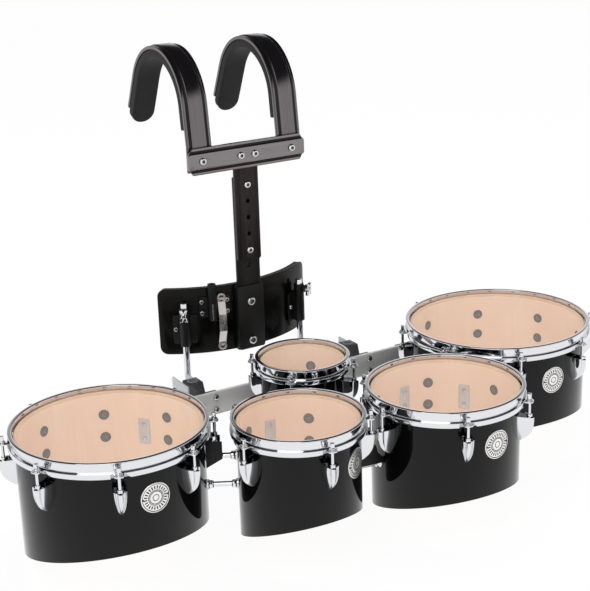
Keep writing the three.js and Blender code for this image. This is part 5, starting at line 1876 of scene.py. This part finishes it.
@dataclass
class Shoulders:
    """The two straps that are bent over the player's shoulders, and the pads under them."""

    width: float = 49.0
    thickness: float = 8.0
    groove: float = 3.0
    bottom: float = 313.0
    foot: float = 47.0
    lean: float = 6.5
    leg: float = 71.0
    arc_radius: float = 112.0
    back_lean: float = 25.7
    back_leg: float = 74.0
    bend_pitch: float = 7.0
    pad_width: float = 47.0
    pad_thickness: float = 15.2
    pad_front: float = 30.0
    pad_past: float = 26.0
    pad_tail: float = 0.96
    pad_crown: float = 0.5
    dent_share: float = 0.03
    dent_depth: float = 0.5
    cuts: tuple[float, ...] = (-0.72, -0.36, 0, 0.36, 0.72)
    section_shares: tuple[Point, ...] = ((1.0, 0.6), (0.82, 0.6), (0.78, 1.0), (0.64, 1.0), (0.58, 0.0))

    @property
    def arc(self) -> float:
        """How far the strap turns over the shoulder, in degrees."""
        return 180 - self.back_lean - self.lean

    @property
    def length(self) -> float:
        """The length of the strap's outer face."""
        return self.foot + self.leg + math.radians(self.arc) * self.arc_radius + self.back_leg

    def station(self, run: float) -> tuple[Vector, float]:
        """A point on the strap's outer face, in the plane across X.

        Args:
            run: The distance from the strap's foot, along its outer face.

        Returns:
            The point as Y and Z, and the heading there in radians from upright.
        """
        y, z, lean = low("shoulder_strap_left").y, RIM + self.bottom, math.radians(self.lean)
        if run <= self.foot:
            return Vector((y, z + run)), 0.0
        start = Vector((y, z + self.foot))
        up = Vector((math.sin(lean), math.cos(lean)))
        run -= self.foot
        if run <= self.leg:
            return start + up * run, lean
        start += up * self.leg
        run -= self.leg
        middle = start + Vector((math.cos(lean), -math.sin(lean))) * self.arc_radius
        turn = min(run / self.arc_radius, math.radians(self.arc))
        heading = lean + turn
        spot = middle + Vector((-math.cos(heading), math.sin(heading))) * self.arc_radius
        rest = run - turn * self.arc_radius
        return spot + Vector((math.sin(heading), math.cos(heading))) * rest, heading

    def follow(self, form: Form, x: float) -> Form:
        """Bends a straight form along the strap's way.

        Args:
            form: A form with X across, Y along the way and Z in from the outer face.
            x: The middle of the strap.

        Returns:
            The bent form.
        """
        for vert in form.bm.verts:
            across, run, inward = vert.co
            spot, heading = self.station(run)
            y = spot.x + inward * math.cos(heading)
            z = spot.y - inward * math.sin(heading)
            vert.co = (x + across, y, z)
        form.bm.normal_update()
        bmesh.ops.recalc_face_normals(form.bm, faces=form.bm.faces)
        return form

    def cut_across(self, form: Form, start: float, end: float, pitch: float) -> None:
        """Cuts a straight form across its run, so that it can bend.

        Args:
            form: The form.
            start: Where the cuts start.
            end: Where they end.
            pitch: The distance between them.
        """
        count = int((end - start) / pitch)
        for i in range(count + 1):
            form.cut((0, start + (end - start) * i / count, 0), (0, 1, 0))

    def build(self) -> None:
        """Builds both straps and both pads."""
        for side in Side:
            x = centre(f"shoulder_strap_{side.word}").x
            self.build_strap(side, x)
            self.build_pad(side, x)

    def build_strap(self, side: Side, x: float) -> None:
        """Extrudes the grooved section and bends it over the shoulder.

        Args:
            side: Which of the two it is.
            x: The middle of the strap.
        """
        half = self.width / 2
        right = [(across * half, groove * self.groove) for across, groove in self.section_shares]
        left = [(-across, deep) for across, deep in reversed(right)]
        outline = [(half, self.thickness)] + right + left + [(-half, self.thickness)]
        form = Form.plate(outline, self.length, 0.6, 0.0, 2)
        form.placed(Matrix(((1, 0, 0, 0), (0, 0, 1, 0), (0, 1, 0, 0), (0, 0, 0, 1))))
        # Faces in the grooves take the second, darker finish: painted shade.
        for face in form.bm.faces:
            deep = face.calc_center_median().z
            face.material_index = groove_index(deep, face.normal.x, self.groove)
        self.cut_across(form, self.foot - 3, self.foot + 3, 2)
        arc_at = self.foot + self.leg
        self.cut_across(form, arc_at, self.length - self.back_leg, self.bend_pitch)
        self.follow(form.outward(), x).stand_in(
            f"shoulder_strap_{side.word}", [STRAP_METAL, GROOVE_SHADE_METAL], Slot.ANODISED
        )

    def build_pad(self, side: Side, x: float) -> None:
        """Cuts the foam pad, rounds its edges and bends it under the strap.

        Args:
            side: Which of the two it is.
            x: The middle of the strap.
        """
        half = self.pad_width / 2
        start, end = self.foot + self.pad_front, self.length + self.pad_past
        form = Form.outline(rectangle(-half, half, start, end))
        tail = [vert for vert in form.bm.verts if vert.co.y > end - 1]
        form.bevelled(tail, half * self.pad_tail, 10, "VERTICES", clamp=False)
        self.cut_across(form, start + 6, self.length, self.bend_pitch)
        for across in self.cuts:
            form.cut((across * half, 0, 0), (1, 0, 0))
        form.thickened(self.pad_thickness).softened(2.2, 3, 60)
        for vert in form.bm.verts:
            crown = (1 - (vert.co.x / half) ** 4) * self.pad_crown
            dent = noise.noise(vert.co * self.dent_share) * self.dent_depth
            vert.co.z += vert.co.z / self.pad_thickness * (crown + dent)
        form.placed(moved(z=self.thickness + 0.4))
        node = f"shoulder_pad_{side.word}"
        self.follow(form, x).stand_in(node, [FOAM], Slot.FOAM, f"{node}_foam")


# The studio


@dataclass
class Studio:
    """A plain pale floor, soft light and the photograph's camera."""

    floor_size: float = 60.0
    floor_colour: str = "#f4f4f4"
    floor_roughness: float = 0.9
    ambient: float = 0.9
    whitened: float = 0.93
    # From how high over the horizon metal sees the dark ceiling, in degrees: first trace, and whole
    ceiling: Point = (14.0, 28.0)
    ceiling_colour: str = "#2b2b2e"
    camera_place: Place = (-1193.0, -2041.0, 1130.2)
    yaw: float = -31.0
    pitch: float = 18.407
    roll: float = -1.724
    focal_pixels: float = 1394.8
    picture_width: int = 590
    picture_height: int = 591
    optical_axis: Point = (311.4, 295.3)
    sensor: float = 36.0
    clip: Point = (0.05, 200.0)

    def build(self) -> None:
        """Sets up the floor, the light and the camera."""
        self.build_floor()
        self.build_world()
        self.build_lamp("key_softbox", (-2.2, -2.0, 3.0), (-0.1, -0.1, 0.2), 2.4, 42.0)
        self.build_lamp("top_softbox", (0.6, 0.4, 3.2), (0.0, 0.0, 0.2), 2.0, 26.0, False)
        self.build_camera()
        bpy.context.scene.view_settings.view_transform = "Standard"

    def hung(self, name: str, data: bpy.types.ID) -> bpy.types.Object:
        """Puts a mesh, a lamp or a camera into the scene.

        Args:
            name: The object's name.
            data: What it holds.

        Returns:
            The new object.
        """
        holder = bpy.data.objects.new(name, data)
        bpy.context.scene.collection.objects.link(holder)
        return holder

    def build_floor(self) -> None:
        """Lays the pale floor. The camera sees it nearly white, and it keeps the shadow."""
        form = Form()
        bmesh.ops.create_grid(form.bm, x_segments=2, y_segments=2, size=self.floor_size / 2)
        data = bpy.data.meshes.new("floor")
        form.bm.to_mesh(data)
        paint = Shading("pale_floor")
        paint.give(
            Base_Color=linear(self.floor_colour), Roughness=self.floor_roughness, Specular_IOR_Level=0.0
        )
        tree = paint.tree
        white = add_node(tree, "Emission", {"Color": WHITE, "Strength": 1.0})
        seen = maths(tree, "MULTIPLY", self.seen(tree), self.whitened)
        inputs = {0: seen, 1: paint.surface.outputs[0], 2: white.outputs[0]}
        mixed = add_node(tree, "MixShader", inputs).outputs[0]
        fill(tree, tree.nodes["Material Output"], {0: mixed})
        data.materials.append(paint.material)
        self.hung("floor", data)

    def seen(self, tree: Tree) -> Output:
        """Tells what is looked at, straight, in a mirror or through glass, from what only lights.

        Args:
            tree: The tree to add it to.

        Returns:
            One for a ray that is seen, and zero for one that lights.
        """
        path = add_node(tree, "LightPath").outputs
        near = maths(tree, "MAXIMUM", path["Is Camera Ray"], path["Is Glossy Ray"])
        return maths(tree, "MAXIMUM", near, path["Is Transmission Ray"])

    def build_world(self) -> None:
        """Lights the set evenly from all round, before a white ground.

        Metal sees the ground white too, up to a little over the horizon. Over that it sees the
        studio's dark ceiling and its lamps, which give chrome its edges.
        """
        world = bpy.data.worlds.new("studio")
        bpy.context.scene.world = world
        world.use_nodes = True
        tree = world.node_tree
        soft = tree.nodes["Background"]
        fill(tree, soft, {"Color": WHITE, "Strength": self.ambient})
        way = add_node(tree, "TexCoord").outputs["Generated"]
        height = add_node(tree, "SeparateXYZ", {0: way}).outputs[2]
        start, end = (math.sin(math.radians(rise)) for rise in self.ceiling)
        inputs = {"Value": height, "From Min": start, "From Max": end}
        dark = add_node(tree, "MapRange", inputs).outputs[0]
        inputs = {0: dark, 6: WHITE, 7: linear(self.ceiling_colour)}
        panels = add_node(tree, "Mix", inputs, data_type="RGBA").outputs[2]
        studio = add_node(tree, "Background", {"Color": panels, "Strength": 1.0})
        white = add_node(tree, "Background", {"Color": WHITE, "Strength": 1.0})
        path = add_node(tree, "LightPath").outputs
        inputs = {0: path["Is Glossy Ray"], 1: white.outputs[0], 2: studio.outputs[0]}
        ground = add_node(tree, "MixShader", inputs)
        inputs = {0: self.seen(tree), 1: soft.outputs[0], 2: ground.outputs[0]}
        mixed = add_node(tree, "MixShader", inputs).outputs[0]
        fill(tree, tree.nodes["World Output"], {0: mixed})

    def build_lamp(
        self, name: str, place: Place, target: Place, size: float, power: float, mirrored: bool = True
    ) -> None:
        """Hangs a square softbox.

        Args:
            name: The lamp's name.
            place: Where it hangs, in metres.
            target: What it points at.
            size: Its side, in metres.
            power: Its power, in watts.
            mirrored: Whether metal shows it.
        """
        lamp = bpy.data.lights.new(name, "AREA")
        lamp.size = size
        lamp.energy = power
        holder = self.hung(name, lamp)
        holder.visible_glossy = mirrored
        holder.matrix_world = Matrix.Translation(place) @ facing(Vector(target) - Vector(place), "-Z")

    def build_camera(self) -> None:
        """Sets the camera where the photograph was taken from."""
        data = bpy.data.cameras.new("camera")
        data.sensor_fit = "HORIZONTAL"
        data.sensor_width = self.sensor
        data.lens = self.focal_pixels * self.sensor / self.picture_width
        data.shift_x = (self.picture_width / 2 - self.optical_axis[0]) / self.picture_width
        data.shift_y = (self.optical_axis[1] - self.picture_height / 2) / self.picture_width
        data.clip_start, data.clip_end = self.clip
        camera = self.hung("camera", data)
        place = Matrix.Translation(Vector(self.camera_place) * MM)
        camera.matrix_world = place @ turned(self.yaw) @ turned(90 - self.pitch, "X") @ turned(self.roll)
        bpy.context.scene.camera = camera


def main() -> None:
    """Builds the set, from the drums to the shoulder pads, and the studio round it."""
    logging.basicConfig(level=logging.INFO, format="%(message)s")
    drums = [
        Drum("drum_12", 304.8, 8, -109.0, badge=(-88.0, 74.0), backings=((44.0, 81.0),)),
        Drum("drum_8", 203.2, 5, -95.0, 151.0, 231.0, (-58.0, 68.0), ((90.0, 68.0),), steps=120),
        Drum("drum_6", 152.4, 4, -43.0, 112.0, 140.0, steps=96),
        Drum(
            "drum_10", 254.0, 6, -112.0, badge=(-85.0, 71.0), backings=((90.0, 71.0), (37.0, 75.0))
        ),
        Drum("drum_13", 330.2, 8, -115.0, badge=(-90.0, 75.0)),
    ]
    for drum in drums:
        drum.build()
    DrumFrame({drum.name: drum for drum in drums}).build()
    belly = BellyPlate()
    belly.build()
    HookRods().build(belly)
    Column().build()
    Shoulders().build()
    Studio().build()


if __name__ == "__main__":
    main()
